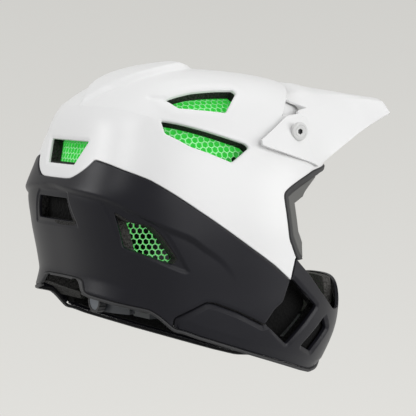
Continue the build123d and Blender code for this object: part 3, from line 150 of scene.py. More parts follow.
# The eye port's band, its grey lip and the lower edging
TRIM_RADIUS = 1.2
TRIM_GAP = 0.2
TRIM_FOOT = 2.6
BAND_WIDTH = 5.4
BAND_STAND = 1.2
BAND_ROLL = 1.6
BAND_ROLL_WIDTH = 6.0
BAND_WALL = 10.0
LIP_START = 5.5
LIP_END = 16.0
LIP_DEPTH = 0.6
LIP_LEAN = 0.2
LIP_LEAN_WIDTH = 12.0
LIP_WALL = 7.0
EDGING_GAP = 0.1
EDGING_HEIGHT = 2.6
EDGING_STAND = 0.2
EDGING_WALL = 2.8
EDGING_RADIUS = 0.9

# Side view outlines as shares: forward, height, from the rear
WHITE_EDGE = ((1.20, 0.14), (0.96, 0.14), (0.87, 0.30), (0.78, 0.23), (0.65, 0.155), (0.345, -0.058),
              (-0.04, -0.258), (-0.217, -0.368), (-0.345, -0.46))
PORT_EDGE = ((-1.40, 0.26), (-0.80, 0.21), (-0.62, 0.19), (-0.55, 0.18), (-0.41, 0.115), (-0.33, 0.067),
             (-0.276, 0.02), (-0.285, -0.05), (-0.316, -0.232), (-0.375, -0.335))
PORT_INNER = ((-1.40, 0.21), (-0.80, 0.165), (-0.64, 0.150), (-0.60, 0.130), (-0.52, 0.060), (-0.458, -0.005),
              (-0.460, -0.10), (-0.455, -0.20), (-0.442, -0.30), (-0.434, -0.385))
CHIN_TOP = ((-0.40, -0.36), (-0.50, -0.44), (-0.605, -0.535), (-0.70, -0.61), (-0.776, -0.665),
            (-0.90, -0.67), (-0.94, -0.54), (-0.975, -0.50), (-1.40, -0.50))
CHIN_SEAM = ((0.48, -0.62), (0.31, -0.56), (0.26, -0.542), (0.20, -0.548), (0.00, -0.606), (-0.178, -0.69),
             (-0.243, -0.61), (-0.30, -0.574), (-0.345, -0.46), (-0.375, -0.335))
RIM = ((1.20, -0.41), (0.90, -0.425), (0.874, -0.503), (0.815, -0.523), (0.706, -0.555), (0.63, -0.574),
       (0.571, -0.606), (0.47, -0.677), (0.403, -0.69), (0.294, -0.723), (-0.10, -0.832),
       (-0.533, -0.968), (-0.65, -1.00), (-0.80, -1.00), (-0.88, -0.955), (-1.40, -0.90))
DIAMOND = ((0.86, -0.06), (0.78, -0.11), (0.65, -0.135), (0.585, -0.19), (0.48, -0.31), (0.51, -0.34),
           (0.76, -0.265), (0.80, -0.25))
DIAMOND_RECESS = ((0.92, 0.00), (0.79, -0.06), (0.65, -0.11), (0.54, -0.18), (0.38, -0.38), (0.43, -0.39),
                  (0.80, -0.27))
CHIN_VENT = ((-0.36, -0.45), (-0.585, -0.622), (-0.357, -0.815), (-0.19, -0.69), (-0.243, -0.61), (-0.30, -0.574))
CHIN_SLOT = ((-0.677, -0.697), (-0.725, -0.765), (-0.596, -0.885), (-0.489, -0.838))
SEAT_LINE = ((-0.375, 0.625), (-0.467, 0.755), (-0.553, 0.846), (-0.558, 1.30))
SEAT_ZONE = ((-0.30, 0.63), (-0.40, 1.30), (-1.4, 1.30), (-1.4, 0.52), (-0.72, 0.575), (-0.58, 0.61))
SIDE_CORE = ((0.84, 0.00), (0.62, -0.02), (0.44, -0.14), (0.40, -0.37), (0.56, -0.38), (0.80, -0.29))
CROWN_CORE = ((0.50, 0.50), (0.47, 0.86), (-0.14, 0.90), (-0.16, 0.40), (0.10, 0.22))

# Crown vents: places on the form as shares of side, forward and height, and their tilt
UPPER_VENT = ((0.60, 0.41, 0.77), (0.60, 0.32, 0.80), (0.59, 0.20, 0.82), (0.59, 0.00, 0.84),
              (0.59, -0.11, 0.84), (0.62, -0.12, 0.81), (0.76, 0.01, 0.66), (0.73, 0.23, 0.69),
              (0.69, 0.35, 0.70))
LOWER_VENT = ((0.71, 0.50, 0.61), (0.82, 0.25, 0.54), (0.89, -0.06, 0.42), (0.90, -0.08, 0.39),
              (0.94, 0.06, 0.28), (0.87, 0.35, 0.41), (0.77, 0.50, 0.51))
UPPER_VENT_TILT = 46.0
LOWER_VENT_TILT = 24.0
# Rear view trapezoids as shares: top half width, foot half width, top, foot
REAR_VENT = (0.295, 0.205, 0.44, 0.255)
EXHAUST_VENT = (0.215, 0.277, -0.006, -0.132)
EXHAUST_RECESS = (0.235, 0.35, 0.05, -0.165)
MOUTH_PORT = (0.20, 0.15, -0.555, -0.72)

# Feature lines on the right side, in shares of side, forward and height
DECK_LINE = ((0.0, 0.757, 0.70), (0.37, 0.714, 0.692), (0.616, 0.605, 0.644), (0.714, 0.504, 0.606))
BAND_LINE = ((0.0, 0.992, 0.075), (0.125, 0.983, 0.067), (0.59, 0.908, 0.01), (0.786, 0.773, -0.058),
             (0.91, 0.58, -0.142), (0.964, 0.412, -0.20), (0.973, 0.30, -0.258), (0.982, 0.176, -0.323),
             (0.973, 0.084, -0.394), (0.955, 0.025, -0.465))
BEVEL_LINE = ((0.0, 0.916, -0.42), (0.268, 0.908, -0.413), (0.49, 0.857, -0.426), (0.705, 0.739, -0.458),
              (0.84, 0.58, -0.51))
UPPER_GROOVE = ((0.50, 0.513, 0.785), (0.60, 0.42, 0.77))
RIDGE_PLAN = ((0.0, 0.78), (0.08, 0.71), (0.18, 0.61), (0.232, 0.52), (0.25, 0.42), (0.259, 0.30), (0.24, 0.16),
              (0.19, 0.0), (0.12, -0.07), (0.0, -0.09))
RIDGE_RISE = ((-0.12, 0.2), (-0.04, 3.2), (0.04, 6.0), (0.29, 4.6), (0.46, 4.2), (0.62, 4.6), (0.71, 3.0),
              (0.79, 0.0))


def place(forward, height):
    """Side view shares as lengths."""
    forward, height = np.asarray(forward, float), np.asarray(height, float)
    y = forward * np.where(forward > 0, REAR_REACH, CHIN_REACH)
    z = height * np.where(height > 0, CROWN_HEIGHT, CHIN_DROP)
    return np.stack([y, z], -1)


def side_points(outline):
    """A side view outline in lengths."""
    table = np.array(outline, float)
    return place(table[:, 0], table[:, 1])


def spots(table):
    """Places on the wearer's right, in lengths."""
    table = np.array(table, float)
    return np.column_stack([-table[:, 0] * HALF_WIDTH, place(table[:, 1], table[:, 2])])


def trapezoid(sizes):
    """A rear view trapezoid in lengths, as (x, z) corners."""
    top_half, foot_half, top, foot = sizes
    top_z, foot_z = place(0, top)[1], place(0, foot)[1]
    top_x, foot_x = top_half * HALF_WIDTH, foot_half * HALF_WIDTH
    return np.array([(-top_x, top_z), (top_x, top_z), (foot_x, foot_z), (-foot_x, foot_z)])


def catmull_blend(a, b, c, d, f):
    """The smooth curve between b and c, at shares of the way."""
    return 0.5 * (2 * b + (c - a) * f + (2 * a - 5 * b + 4 * c - d) * f ** 2 + (3 * b - a - 3 * c + d) * f ** 3)


# The outer form

def levels(s):
    """The form's level at shares of the way down."""
    rows = LEVEL_SHARES
    before = rows[1].copy()
    before[1:4] *= -1
    rows = np.vstack([before, rows, 2 * rows[-1] - rows[-2]])
    spans = len(LEVEL_SHARES) - 1
    at = np.clip(s, 0, 1) * spans
    i = np.minimum(at.astype(int), spans - 1)
    f = (at - i)[..., None]
    out = catmull_blend(rows[i], rows[i + 1], rows[i + 2], rows[i + 3], f)
    z = out[..., 0] * np.where(out[..., 0] > 0, CROWN_HEIGHT, CHIN_DROP)
    sizes = np.maximum(out[..., 1:4], 1e-5) * np.array([REAR_REACH, CHIN_REACH, HALF_WIDTH])
    return z, sizes[..., 0], sizes[..., 1], sizes[..., 2], np.maximum(out[..., 4], 2), np.maximum(out[..., 5], 2)


def form_points(s, turn):
    """Points of the form, turn 0 at the rear and growing towards the wearer's right."""
    z, rear, front, half, square_rear, square_front = levels(s)
    side, ahead = np.sin(turn), np.cos(turn)
    reach = np.where(ahead >= 0, rear, front)
    square = np.where(ahead >= 0, square_rear, square_front)
    radius = (np.abs(side / half) ** square + np.abs(ahead / reach) ** square) ** (-1 / square)
    return np.stack([-radius * side, radius * ahead, z], -1)


# The grown form's outlines, kept by how far it is grown
LINES = {}


def ring_sizes(z, grow):
    """Rear, front and half sizes and both squarenesses of the grown form at heights."""
    if grow not in LINES:
        s = np.linspace(0, 1, LINE_STEPS)
        table = levels(s)
        height = table[0]
        lines = []
        for reach in table[1:4]:
            run, fall = np.gradient(reach), -np.gradient(height)
            run[0], fall[0] = 1.0, 0.0
            size = np.hypot(run, fall)
            lines.append((height + grow * run / size, np.maximum(reach + grow * fall / size, 1e-3)))
        lines.append((height, table[4]))
        lines.append((height, table[5]))
        LINES[grow] = lines
    out = []
    for height, value in LINES[grow]:
        order = np.argsort(height)
        out.append(np.interp(z, height[order], value[order]))
    top = LINES[grow][2][0].max()
    above = np.asarray(z) > top
    for index in range(3):
        out[index] = np.where(above, 1e-3, out[index])
    return out


def form_side(y, z, grow=0.0):
    """How far out the grown form's side is."""
    rear, front, half, square_rear, square_front = ring_sizes(z, grow)
    y = np.asarray(y, float)
    reach = np.where(y >= 0, rear, front)
    square = np.where(y >= 0, square_rear, square_front)
    left = np.maximum(1 - np.abs(y / reach) ** square, 0)
    return half * left ** (1 / square)


def surface_along(origins, direction, grow):
    """Where lines from inside the form leave it: origins plus a distance along the direction."""
    low, high = np.zeros(len(origins)), np.full(len(origins), FAR)
    for step in range(BISECTIONS):
        middle = (low + high) / 2
        p = origins + middle[:, None] * direction
        inside = form_side(p[:, 1], p[:, 2], grow) > np.abs(p[:, 0])
        low, high = np.where(inside, middle, low), np.where(inside, high, middle)
    return origins + low[:, None] * direction


# The outlines' corners, and the outlines that become fields, with their corner radii
SOFTEN_SHARE = 0.45
SOFTEN_STEPS = 5
UPPER_VENT_RADIUS = 1.6
LOWER_VENT_RADIUS = 2.0
RIDGE_RADIUS = 3.0
RIDGE_OVERLAP = HALF_WIDTH / 9
SIDE_FIELDS = {
    "white": (WHITE_EDGE + ((-1.6, -0.46), (-1.6, 1.6), (1.2, 1.6)), 1.2),
    "port": (PORT_EDGE + CHIN_TOP, 4.0),
    "port_inner": (PORT_INNER + CHIN_TOP, 5.0),
    "diamond": (DIAMOND, 3.0),
    "diamond_recess": (DIAMOND_RECESS, 4.0),
    "chin_seam": (CHIN_SEAM + ((-1.6, -0.335), (-1.6, -1.4), (0.48, -1.4)), 3.0),
    "rim": (RIM + ((-1.6, -0.90), (-1.6, 1.6), (1.2, 1.6)), 3.0),
    "chin_vent": (CHIN_VENT, 2.5),
    "chin_slot": (CHIN_SLOT, 1.5),
    "seat": (SEAT_ZONE, 1.0),
    "seat_line": (SEAT_LINE + ((-1.6, 1.3), (-1.6, 0.3), (-0.375, 0.3)), 0.0),
}
# Rear view outlines, on the rear (1) or the front (-1)
REAR_FIELDS = {
    "rear_vent": (REAR_VENT, 1, 1.5),
    "exhaust": (EXHAUST_VENT, 1, 1.5),
    "exhaust_recess": (EXHAUST_RECESS, 1, 3.0),
    "mouth": (MOUTH_PORT, -1, 3.0),
}


# Flat signed distances and the surface grid

def corner_arc(before, corner, after, radius, most_share, steps):
    """Points of a rounded corner, which takes up at most a share of each side."""
    a, b = before - corner, after - corner
    size_a, size_b = np.linalg.norm(a), np.linalg.norm(b)
    cut = min(radius, most_share * size_a, most_share * size_b)
    start, end = corner + a / size_a * cut, corner + b / size_b * cut
    return [(1 - t) ** 2 * start + 2 * t * (1 - t) * corner + t ** 2 * end for t in np.linspace(0, 1, steps)]


def soften(outline, radius):
    """A closed outline with its corners rounded."""
    out = []
    for i, corner in enumerate(outline):
        out += corner_arc(outline[i - 1], corner, outline[(i + 1) % len(outline)], radius, SOFTEN_SHARE,
                          SOFTEN_STEPS)
    return np.array(out)


def flat_distance(points, outline):
    """Signed distance to a closed flat outline, positive inside, and the way it points."""
    best = np.full(len(points), 1e18)
    way = np.zeros_like(points)
    inside = np.zeros(len(points), bool)
    for a, b in zip(outline, np.roll(outline, -1, 0)):
        edge = b - a
        size = edge @ edge
        if size < 1e-12:
            continue
        t = np.clip((points - a) @ edge / size, 0, 1)
        gap = points - (a + t[:, None] * edge)
        square = (gap ** 2).sum(1)
        closer = square < best
        best = np.where(closer, square, best)
        way = np.where(closer[:, None], gap, way)
        crosses = (a[1] > points[:, 1]) != (b[1] > points[:, 1])
        if edge[1] != 0:
            at = a[0] + (points[:, 1] - a[1]) / edge[1] * edge[0]
            inside ^= crosses & (points[:, 0] < at)
    distance = np.sqrt(best)
    way = way / np.maximum(distance, 1e-9)[:, None]
    return np.where(inside, distance, -distance), way


class Skin:
    """The form's surface on the wearer's right, with fields on it, mirrored when it is meshed."""

    def __init__(self):
        fine = np.linspace(0, 1, FINE_STEPS)
        sizes = levels(fine)
        reach = (sizes[1] + sizes[2] + 2 * sizes[3]) / 4
        length = np.concatenate([[0], np.cumsum(np.hypot(np.diff(reach), np.diff(sizes[0])))])
        s = np.interp(np.linspace(0, length[-1], ROWS), length, fine)
        turn = np.linspace(0, math.pi, COLUMNS // 2 + 1)
        self.shape = (ROWS, len(turn))
        grid_s, grid_turn = np.meshgrid(s, turn, indexing="ij")
        self.points = form_points(grid_s, grid_turn).reshape(-1, 3)
        small = 1e-4
        down = form_points(grid_s + small, grid_turn) - form_points(grid_s - small, grid_turn)
        round_way = form_points(grid_s, grid_turn + small) - form_points(grid_s, grid_turn - small)
        normal = np.cross(down, round_way).reshape(-1, 3)
        normal /= np.maximum(np.linalg.norm(normal, axis=1), 1e-12)[:, None]
        inward = (normal * self.points).sum(1) < 0
        normal[inward] *= -1
        normal[:self.shape[1]] = (0, 0, 1)
        self.normals = normal
        circle = 2 * math.pi * np.interp(s, fine, reach)
        self.merge = 2 ** np.maximum(0, np.floor(np.log2(COLUMNS * 0.8 / np.maximum(circle, 1)))).astype(int)
        self.merge[0] = COLUMNS
        self.fields = {}

    def from_plane(self, outline, x_dir, y_dir, origin=(0, 0, 0), facing=None):
        """Signed distance along the surface to an outline drawn in a plane."""
        x_dir, y_dir = np.array(x_dir, float), np.array(y_dir, float)
        local = self.points - np.array(origin)
        flat = np.column_stack([local @ x_dir, local @ y_dir])
        distance, way = flat_distance(flat, outline)
        lean = (way[:, :1] * x_dir + way[:, 1:] * y_dir) * self.normals
        slope = np.clip(1 - lean.sum(1) ** 2, LEAST_SLOPE, 1)
        distance = distance / np.sqrt(slope)
        if facing is not None:
            distance = np.where(self.normals @ np.array(facing) > LEAST_FACING, distance, OUT_OF_SIGHT)
        return distance

    def side(self, outline, radius):
        """Signed distance to a side view outline given in shares."""
        points = side_points(outline)
        if radius:
            points = soften(points, radius)
        return self.from_plane(points, (0, 1, 0), (0, 0, 1))

    def rear(self, outline, way, radius):
        """Signed distance to a rear view outline, on the rear or the front."""
        return self.from_plane(soften(outline, radius), (1, 0, 0), (0, 0, 1), facing=(0, way, 0))

    def tilted(self, table, tilt, radius):
        """Signed distance to an outline of places on the crown, seen along a tilted line."""
        corners = spots(table)
        middle = corners.mean(0)
        facing = np.array([-math.cos(math.radians(tilt)), 0, math.sin(math.radians(tilt))])
        y_dir = np.cross(facing, (0, 1, 0))
        flat = np.column_stack([(corners - middle) @ np.array([0, 1, 0]), (corners - middle) @ y_dir])
        return self.from_plane(soften(flat, radius), (0, 1, 0), y_dir, middle, facing)

    def line(self, table):
        """Signed distance to a feature line and the share of the way along it."""
        corners = spots(table)
        corners = catmull(corners, np.linspace(0, len(corners) - 1, LINE_PARTS * (len(corners) - 1) + 1))
        outward = corners * (1, 1, 0)
        outward /= np.linalg.norm(outward, axis=1)[:, None]
        corners = surface_along(corners * (0, 0, 1), outward, 0.0)
        best = np.full(len(self.points), 1e18)
        signed = np.zeros(len(self.points))
        along = np.zeros(len(self.points))
        steps = np.concatenate([[0], np.cumsum(np.linalg.norm(np.diff(corners, axis=0), axis=1))])
        for i, (a, b) in enumerate(zip(corners, corners[1:])):
            edge = b - a
            t = np.clip((self.points - a) @ edge / (edge @ edge), 0, 1)
            gap = self.points - (a + t[:, None] * edge)
            square = (gap ** 2).sum(1)
            side = (np.cross(self.normals, edge) * gap).sum(1)
            closer = square < best
            best = np.where(closer, square, best)
            signed = np.where(closer, np.sign(side) * np.sqrt(square), signed)
            along = np.where(closer, (steps[i] + t * (steps[i + 1] - steps[i])) / steps[-1], along)
        return signed, along


def smooth(value):
    """A soft step from 0 to 1."""
    value = np.clip(value, 0, 1)
    return value * value * (3 - 2 * value)


def slice_at(triangles, data, column, value):
    """Triangles cut along a field's level, with the new vertices' data."""
    f = data[:, column] - value
    f = np.where(np.abs(f) < 1e-5, 1e-5, f)
    above = f > 0
    corners = above[triangles]
    count = corners.sum(1)
    whole = triangles[(count == 0) | (count == 3)]
    mixed = (count == 1) | (count == 2)
    cut, flags = triangles[mixed], corners[mixed]
    if not len(cut):
        return triangles, data
    lone = np.where(count[mixed] == 1, 1, 0)
    pick = (flags == lone[:, None]).argmax(1)
    rows = np.arange(len(cut))
    a, b, c = cut[rows, pick], cut[rows, (pick + 1) % 3], cut[rows, (pick + 2) % 3]
    pairs = np.sort(np.concatenate([np.column_stack([a, b]), np.column_stack([a, c])]), 1)
    unique, inverse = np.unique(pairs, axis=0, return_inverse=True)
    inverse = inverse.reshape(-1)
    low, high = unique[:, 0], unique[:, 1]
    weight = (f[low] / (f[low] - f[high]))[:, None]
    added = data[low] * (1 - weight) + data[high] * weight
    added[:, column] = value
    start = len(data)
    ab, ac = start + inverse[:len(cut)], start + inverse[len(cut):]
    pieces = [whole, np.column_stack([a, ab, ac]), np.column_stack([ab, b, c]), np.column_stack([ab, c, ac])]
    return np.concatenate(pieces), np.vstack([data, added])


def shade(mesh, sharp):
    """Smooth shading but for the edges that turn by more than an angle."""
    mesh.shade_smooth()
    mesh.set_sharp_from_angle(angle=math.radians(sharp))


def make_mesh(name, points, faces, surface, sharp=38.0):
    """A mesh object from points in millimetres."""
    mesh = bpy.data.meshes.new(name)
    faces = faces.tolist() if isinstance(faces, np.ndarray) else faces
    mesh.from_pydata((np.asarray(points) * MM).tolist(), [], faces)
    mesh.validate()
    obj = bpy.data.objects.new(name, mesh)
    bpy.context.collection.objects.link(obj)
    mesh.materials.append(surface)
    shade(mesh, sharp)
    return obj


def skin_piece(name, skin, region, shape, wall, surface, lip=LIP_RADIUS, cuts=(), sharp=38.0):
    """A walled piece of the form's surface where region is positive, both sides together.

    shape gives how far the outer face stands off the form from the skin's fields, and cuts are
    pairs of a field and a level that become edges of the mesh."""
    names = list(skin.fields)
    columns_in = [region] + [skin.fields[field] for field in names]
    width = skin.shape[1]
    data = np.column_stack([skin.points, skin.normals] + columns_in).reshape(ROWS, width, -1)
    mirror = data[:, 1:-1][:, ::-1].copy()
    mirror[..., 0] *= -1
    mirror[..., 3] *= -1
    data = np.concatenate([data, mirror], 1)
    columns = data.shape[1]
    rows_at, columns_at = np.meshgrid(np.arange(ROWS), np.arange(columns), indexing="ij")
    step = np.minimum(skin.merge, columns)[:, None]
    ids = rows_at * columns + columns_at - columns_at % step
    ids[0] = 0
    following = np.roll(ids, -1, 1)
    quads = np.stack([ids[:-1], ids[1:], following[1:], following[:-1]], -1).reshape(-1, 4)
    data = data.reshape(ROWS * columns, -1)
    quads = quads[(data[quads, REGION] > -CUT_MARGIN).any(1)]
    triangles = np.concatenate([quads[:, [0, 1, 2]], quads[:, [0, 2, 3]]])
    same = ((triangles[:, 0] == triangles[:, 1]) | (triangles[:, 1] == triangles[:, 2])
            | (triangles[:, 0] == triangles[:, 2]))
    triangles = triangles[~same]
    for field, level in cuts:
        triangles, data = slice_at(triangles, data, FIRST_FIELD + names.index(field), level)
    for level in (lip, lip * 0.5, lip * 0.15, 0.0):
        triangles, data = slice_at(triangles, data, REGION, level)
    triangles = triangles[data[triangles, REGION].mean(1) > 1e-4]
    used, inverse = np.unique(triangles, return_inverse=True)
    triangles, data = inverse.reshape(-1, 3), data[used]
    normal = data[:, 3:6] / np.maximum(np.linalg.norm(data[:, 3:6], axis=1), 1e-9)[:, None]
    values = {field: data[:, FIRST_FIELD + index] for index, field in enumerate(names)}
    values.update(x=np.abs(data[:, 0]), y=data[:, 1], z=data[:, 2])
    stand = shape(values)
    depth = np.clip(data[:, REGION], 0, lip)
    drop = lip - np.sqrt(np.maximum(lip ** 2 - (lip - depth) ** 2, 0))
    outer = data[:, :3] + normal * (stand - drop)[:, None]
    inner = data[:, :3] + normal * (stand - wall)[:, None]
    edges = np.concatenate([triangles[:, [0, 1]], triangles[:, [1, 2]], triangles[:, [2, 0]]])
    key = np.sort(edges, 1)
    unique, inverse, count = np.unique(key, axis=0, return_inverse=True, return_counts=True)
    rim = edges[count[inverse.reshape(-1)] == 1]
    base = len(outer)
    walls = np.column_stack([rim[:, 1], rim[:, 0], rim[:, 0] + base, rim[:, 1] + base])
    faces = triangles.tolist() + (triangles[:, ::-1] + base).tolist() + walls.tolist()
    return make_mesh(name, np.vstack([outer, inner]), faces, surface, sharp)


# Materials: the clear coat, the size of the soft variation, and each kind of fine grain with its texture node,
# its settings and the output that holds its height
COAT_ROUGHNESS = 0.25
STAIN_SCALE = 9.0
ROUGH_SPREAD = 0.05
FINE_TEXTURES = {
    "noise": ("TexNoise", {"Detail": 2.0}, "Fac"),
    "beads": ("TexVoronoi", {}, "Distance"),
    "weave": ("TexWave", {"Distortion": 1.5}, "Fac"),
}


def add_node(tree, kind, inputs, **settings):
    """A new shader node with its settings, and a value or a link for each input named."""
    made = tree.nodes.new("ShaderNode" + kind)
    for key, value in settings.items():
        setattr(made, key, value)
    for key, value in inputs.items():
        if isinstance(value, bpy.types.NodeSocket):
            tree.links.new(value, made.inputs[key])
        else:
            made.inputs[key].default_value = value
    return made


def material(name, color, rough, grain, grain_scale, bump, vary, kind="noise", extra=()):
    """A procedural material: a base colour with slight variation and a fine surface grain.

    extra holds further inputs of the shader by name."""
    made = bpy.data.materials.new(name)
    made.use_nodes = True
    tree = made.node_tree
    shader = tree.nodes["Principled BSDF"]
    shader.inputs["Coat Roughness"].default_value = COAT_ROUGHNESS
    for key, value in dict(extra).items():
        shader.inputs[key].default_value = value
    where = add_node(tree, "TexCoord", {}).outputs["Object"]
    soft = add_node(tree, "TexNoise", {"Scale": STAIN_SCALE, "Detail": 3.0, "Vector": where}).outputs["Fac"]
    tint = add_node(tree, "MapRange", {"To Min": 1 - vary, "To Max": 1 + vary, "Value": soft})
    scale = add_node(tree, "VectorMath", {0: color, "Scale": tint.outputs["Result"]}, operation="SCALE")
    tree.links.new(scale.outputs["Vector"], shader.inputs["Base Color"])
    rough_range = add_node(tree, "MapRange", {"To Min": max(rough - ROUGH_SPREAD, 0.02),
                                              "To Max": min(rough + ROUGH_SPREAD, 1.0), "Value": soft})
    tree.links.new(rough_range.outputs["Result"], shader.inputs["Roughness"])
    fine_kind, fine_inputs, height = FINE_TEXTURES[kind]
    fine = add_node(tree, fine_kind, {**fine_inputs, "Scale": grain_scale, "Vector": where})
    relief = add_node(tree, "Bump", {"Strength": bump, "Distance": grain, "Height": fine.outputs[height]})
    tree.links.new(relief.outputs["Normal"], shader.inputs["Normal"])
    return made


# Colour, roughness, depth of the grain in metres, its scale and strength, and how far the colour varies
WHITE = material("white_paint", (0.83, 0.83, 0.825), 0.42, 0.00005, 1500, 0.08, 0.01, extra={"Coat Weight": 0.15})
CHARCOAL = material("charcoal_paint", (0.0100, 0.0100, 0.0140), 0.36, 0.00006, 1500, 0.1, 0.05,
                    extra={"Specular IOR Level": 0.2})
FOAM = material("beaded_foam", (0.060, 0.057, 0.053), 0.8, 0.0016, 420, 1.0, 0.12, "beads")
DARK_FOAM = material("dark_beaded_foam", (0.026, 0.025, 0.024), 0.85, 0.0016, 420, 1.0, 0.12, "beads",
                     {"Specular IOR Level": 0.25})
# Near-black foam: painted shade for the chin bar's foam and for the sheets behind its openings and the exhaust vent
SHADE_BLACK_FOAM = material("shade_black_foam", (0.006, 0.006, 0.006), 0.9, 0.0012, 330, 0.9, 0.12, "beads",
                {"Specular IOR Level": 0.1})
# The tubes' green glows faintly: painted light, as if light came through the plastic
GREEN = material("green_core", (0.17, 0.82, 0.21), 0.35, 0.0001, 900, 0.1, 0.08,
                 extra={"Emission Color": (0.06, 0.55, 0.09, 1), "Emission Strength": 0.24})
# A paler, brighter-glowing copy for the tubes' front rims: a painted highlight
HIGHLIT_GREEN = material("green_core_rims_highlight", (0.42, 0.90, 0.44), 0.4, 0.0001, 900, 0.1, 0.04,
                       extra={"Emission Color": (0.10, 0.60, 0.14, 1), "Emission Strength": 0.34})
# A dark copy for the tubes' inner ends and outer walls: painted shade inside and between the tubes
SHADED_GREEN = material("green_core_inside_shade", (0.03, 0.22, 0.05), 0.45, 0.0001, 900, 0.1, 0.08)
WHITE_CAP = material("white_cap", (0.66, 0.66, 0.65), 0.4, 0.00005, 900, 0.1, 0.02)
RUBBER = material("black_trim", (0.022, 0.022, 0.024), 0.6, 0.0001, 1200, 0.2, 0.06)
TRIM_GREY = material("grey_trim", (0.105, 0.105, 0.10), 0.6, 0.0001, 900, 0.25, 0.05)
PAD = material("pad_fabric", (0.055, 0.055, 0.06), 0.9, 0.0004, 1400, 0.6, 0.12, "weave")
PLASTIC = material("grained_plastic", (0.042, 0.046, 0.053), 0.5, 0.0001, 1800, 0.3, 0.06)
ACCENT = material("grey_cap", (0.12, 0.135, 0.155), 0.38, 0.0001, 900, 0.1, 0.03)
WEBBING = material("webbing", (0.025, 0.025, 0.028), 0.85, 0.0002, 2600, 0.6, 0.1)
STEEL = material("coated_steel", (0.45, 0.45, 0.46), 0.35, 0.00005, 900, 0.1, 0.03, extra={"Metallic": 1.0})
ANODISED = material("dark_socket", (0.05, 0.05, 0.052), 0.4, 0.00005, 900, 0.1, 0.03, extra={"Metallic": 0.6})
SLOT_MATERIALS = {
    "white_shell": WHITE, "dark_shell": CHARCOAL, "foam": DARK_FOAM, "core": GREEN, "trim": RUBBER, "pad": PAD,
    "dial": PLASTIC, "accent": ACCENT, "webbing": WEBBING, "steel": STEEL, "screw": ANODISED,
}


def dress_cad():
    """Gives every CAD node its slot's material, but a darker one to the dial, and near-black foam with painted
    shade to the chin bar's foam.
    """
    slots = {part["node"]: part["material_slot"] for part in frame["record"]["subparts"]}
    for node, obj in frame["nodes"].items():
        surface = SLOT_MATERIALS[slots[node]]
        # the chin bar's foam gets the near-black foam, as painted shade inside the chin bar
        if node.startswith("chin_bar_liner"):
            surface = SHADE_BLACK_FOAM
        if node == "fit_dial":
            surface = RUBBER
        obj.data.materials.clear()
        obj.data.materials.append(surface)


def stand_for(obj, body, slot, *nodes):
    """A visual piece that rides a body and stands for CAD nodes."""
    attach(obj, body)
    if nodes:
        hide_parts(*nodes)
    return obj


# Shells

def draw_fields(skin):
    """Every outline and line of the helmet as a field on its surface."""
    f = skin.fields
    for name, (outline, radius) in SIDE_FIELDS.items():
        f[name] = skin.side(outline, radius)
    for name in ("port", "port_inner"):
        f[name] = -f[name]
    for name, (sizes, way, radius) in REAR_FIELDS.items():
        f[name] = skin.rear(trapezoid(sizes), way, radius)
    f["upper_vent"] = skin.tilted(UPPER_VENT, UPPER_VENT_TILT, UPPER_VENT_RADIUS)
    f["lower_vent"] = skin.tilted(LOWER_VENT, LOWER_VENT_TILT, LOWER_VENT_RADIUS)
    plan = [(-x * HALF_WIDTH, place(forward, 0)[0]) for x, forward in RIDGE_PLAN]
    plan = np.array(plan + [(RIDGE_OVERLAP, plan[-1][1]), (RIDGE_OVERLAP, plan[0][1])])
    f["ridge"] = skin.from_plane(soften(plan, RIDGE_RADIUS), (1, 0, 0), (0, 1, 0), facing=(0, 0, 1))
    for name, table in (("deck", DECK_LINE), ("groove", UPPER_GROOVE), ("band", BAND_LINE), ("bevel", BEVEL_LINE)):
        f[name], f[name + "_along"] = skin.line(table)


def taper(f, name):
    """How strong a line's relief still is, from 1 down to 0 at the line's front end."""
    end, rate = TAPERS[name]
    return smooth((end - f[name + "_along"]) * rate)


def edge_sink(f, name):
    """How far the surface sinks on its way to an outline."""
    depth, slope = EDGE_SINKS[name]
    return depth * smooth((f[name] + slope) / slope)


def recess(f, name):
    """How deep the surface is pressed in inside an outline."""
    depth, slope = RECESSES[name]
    return depth * smooth(f[name] / slope)


def crown_shape(f):
    """The white shell: the ridge, the deck's crease, the soft edges of the vents and the visor's seat."""
    rise_at = place([row[0] for row in RIDGE_RISE], np.zeros(len(RIDGE_RISE)))[:, 0]
    rise = np.interp(f["y"], rise_at, [row[1] for row in RIDGE_RISE])
    shape = rise * smooth(f["ridge"] / RIDGE_SLOPE)
    shape += DECK_RISE * np.exp(-np.abs(f["deck"]) / DECK_FADE) * taper(f, "deck")
    shape -= GROOVE_DEPTH * np.exp(-(f["groove"] / GROOVE_FADE) ** 2) * smooth(f["groove_along"] * GROOVE_START)
    shape += SWELL * np.exp(-((f["upper_vent"] + SWELL_PLACE) / SWELL_FADE) ** 2)
    for vent in ("upper_vent", "lower_vent", "rear_vent"):
        shape -= edge_sink(f, vent)
    return shape - np.where(f["seat_line"] > 0, recess(f, "seat"), 0.0)


def dark_shape(f):
    """The dark shell: the raised band, the vent recesses, the flared lower edge and the chin seam."""
    over = smooth(0.5 + f["band"] / BAND_CREASE)
    above = over * BAND_RISE * np.exp(-np.abs(f["band"]) / BAND_RISE_FADE)
    below = (1 - over) * BAND_SINK * np.exp(-np.abs(f["band"]) / BAND_SINK_FADE)
    rear = smooth((f["y"] - REAR_SINK_START) / REAR_SINK_RUN) * smooth((REAR_SINK_TOP - f["z"]) / REAR_SINK_FALL)
    shape = (above - below) * taper(f, "band") - REAR_SINK * rear + flare(f)
    shape -= recess(f, "diamond_recess") + recess(f, "exhaust_recess") + edge_sink(f, "chin_seam")
    return np.maximum(shape, -LOWEST_RELIEF)


def flare(f):
    """How far the dark shell's lowest strip leans out below its bevel line."""
    down = 0.5 * (np.sqrt(f["bevel"] ** 2 + FLARE_SOFTNESS) - f["bevel"])
    return FLARE_SLOPE * np.minimum(down, FLARE_HEIGHT) * taper(f, "bevel")


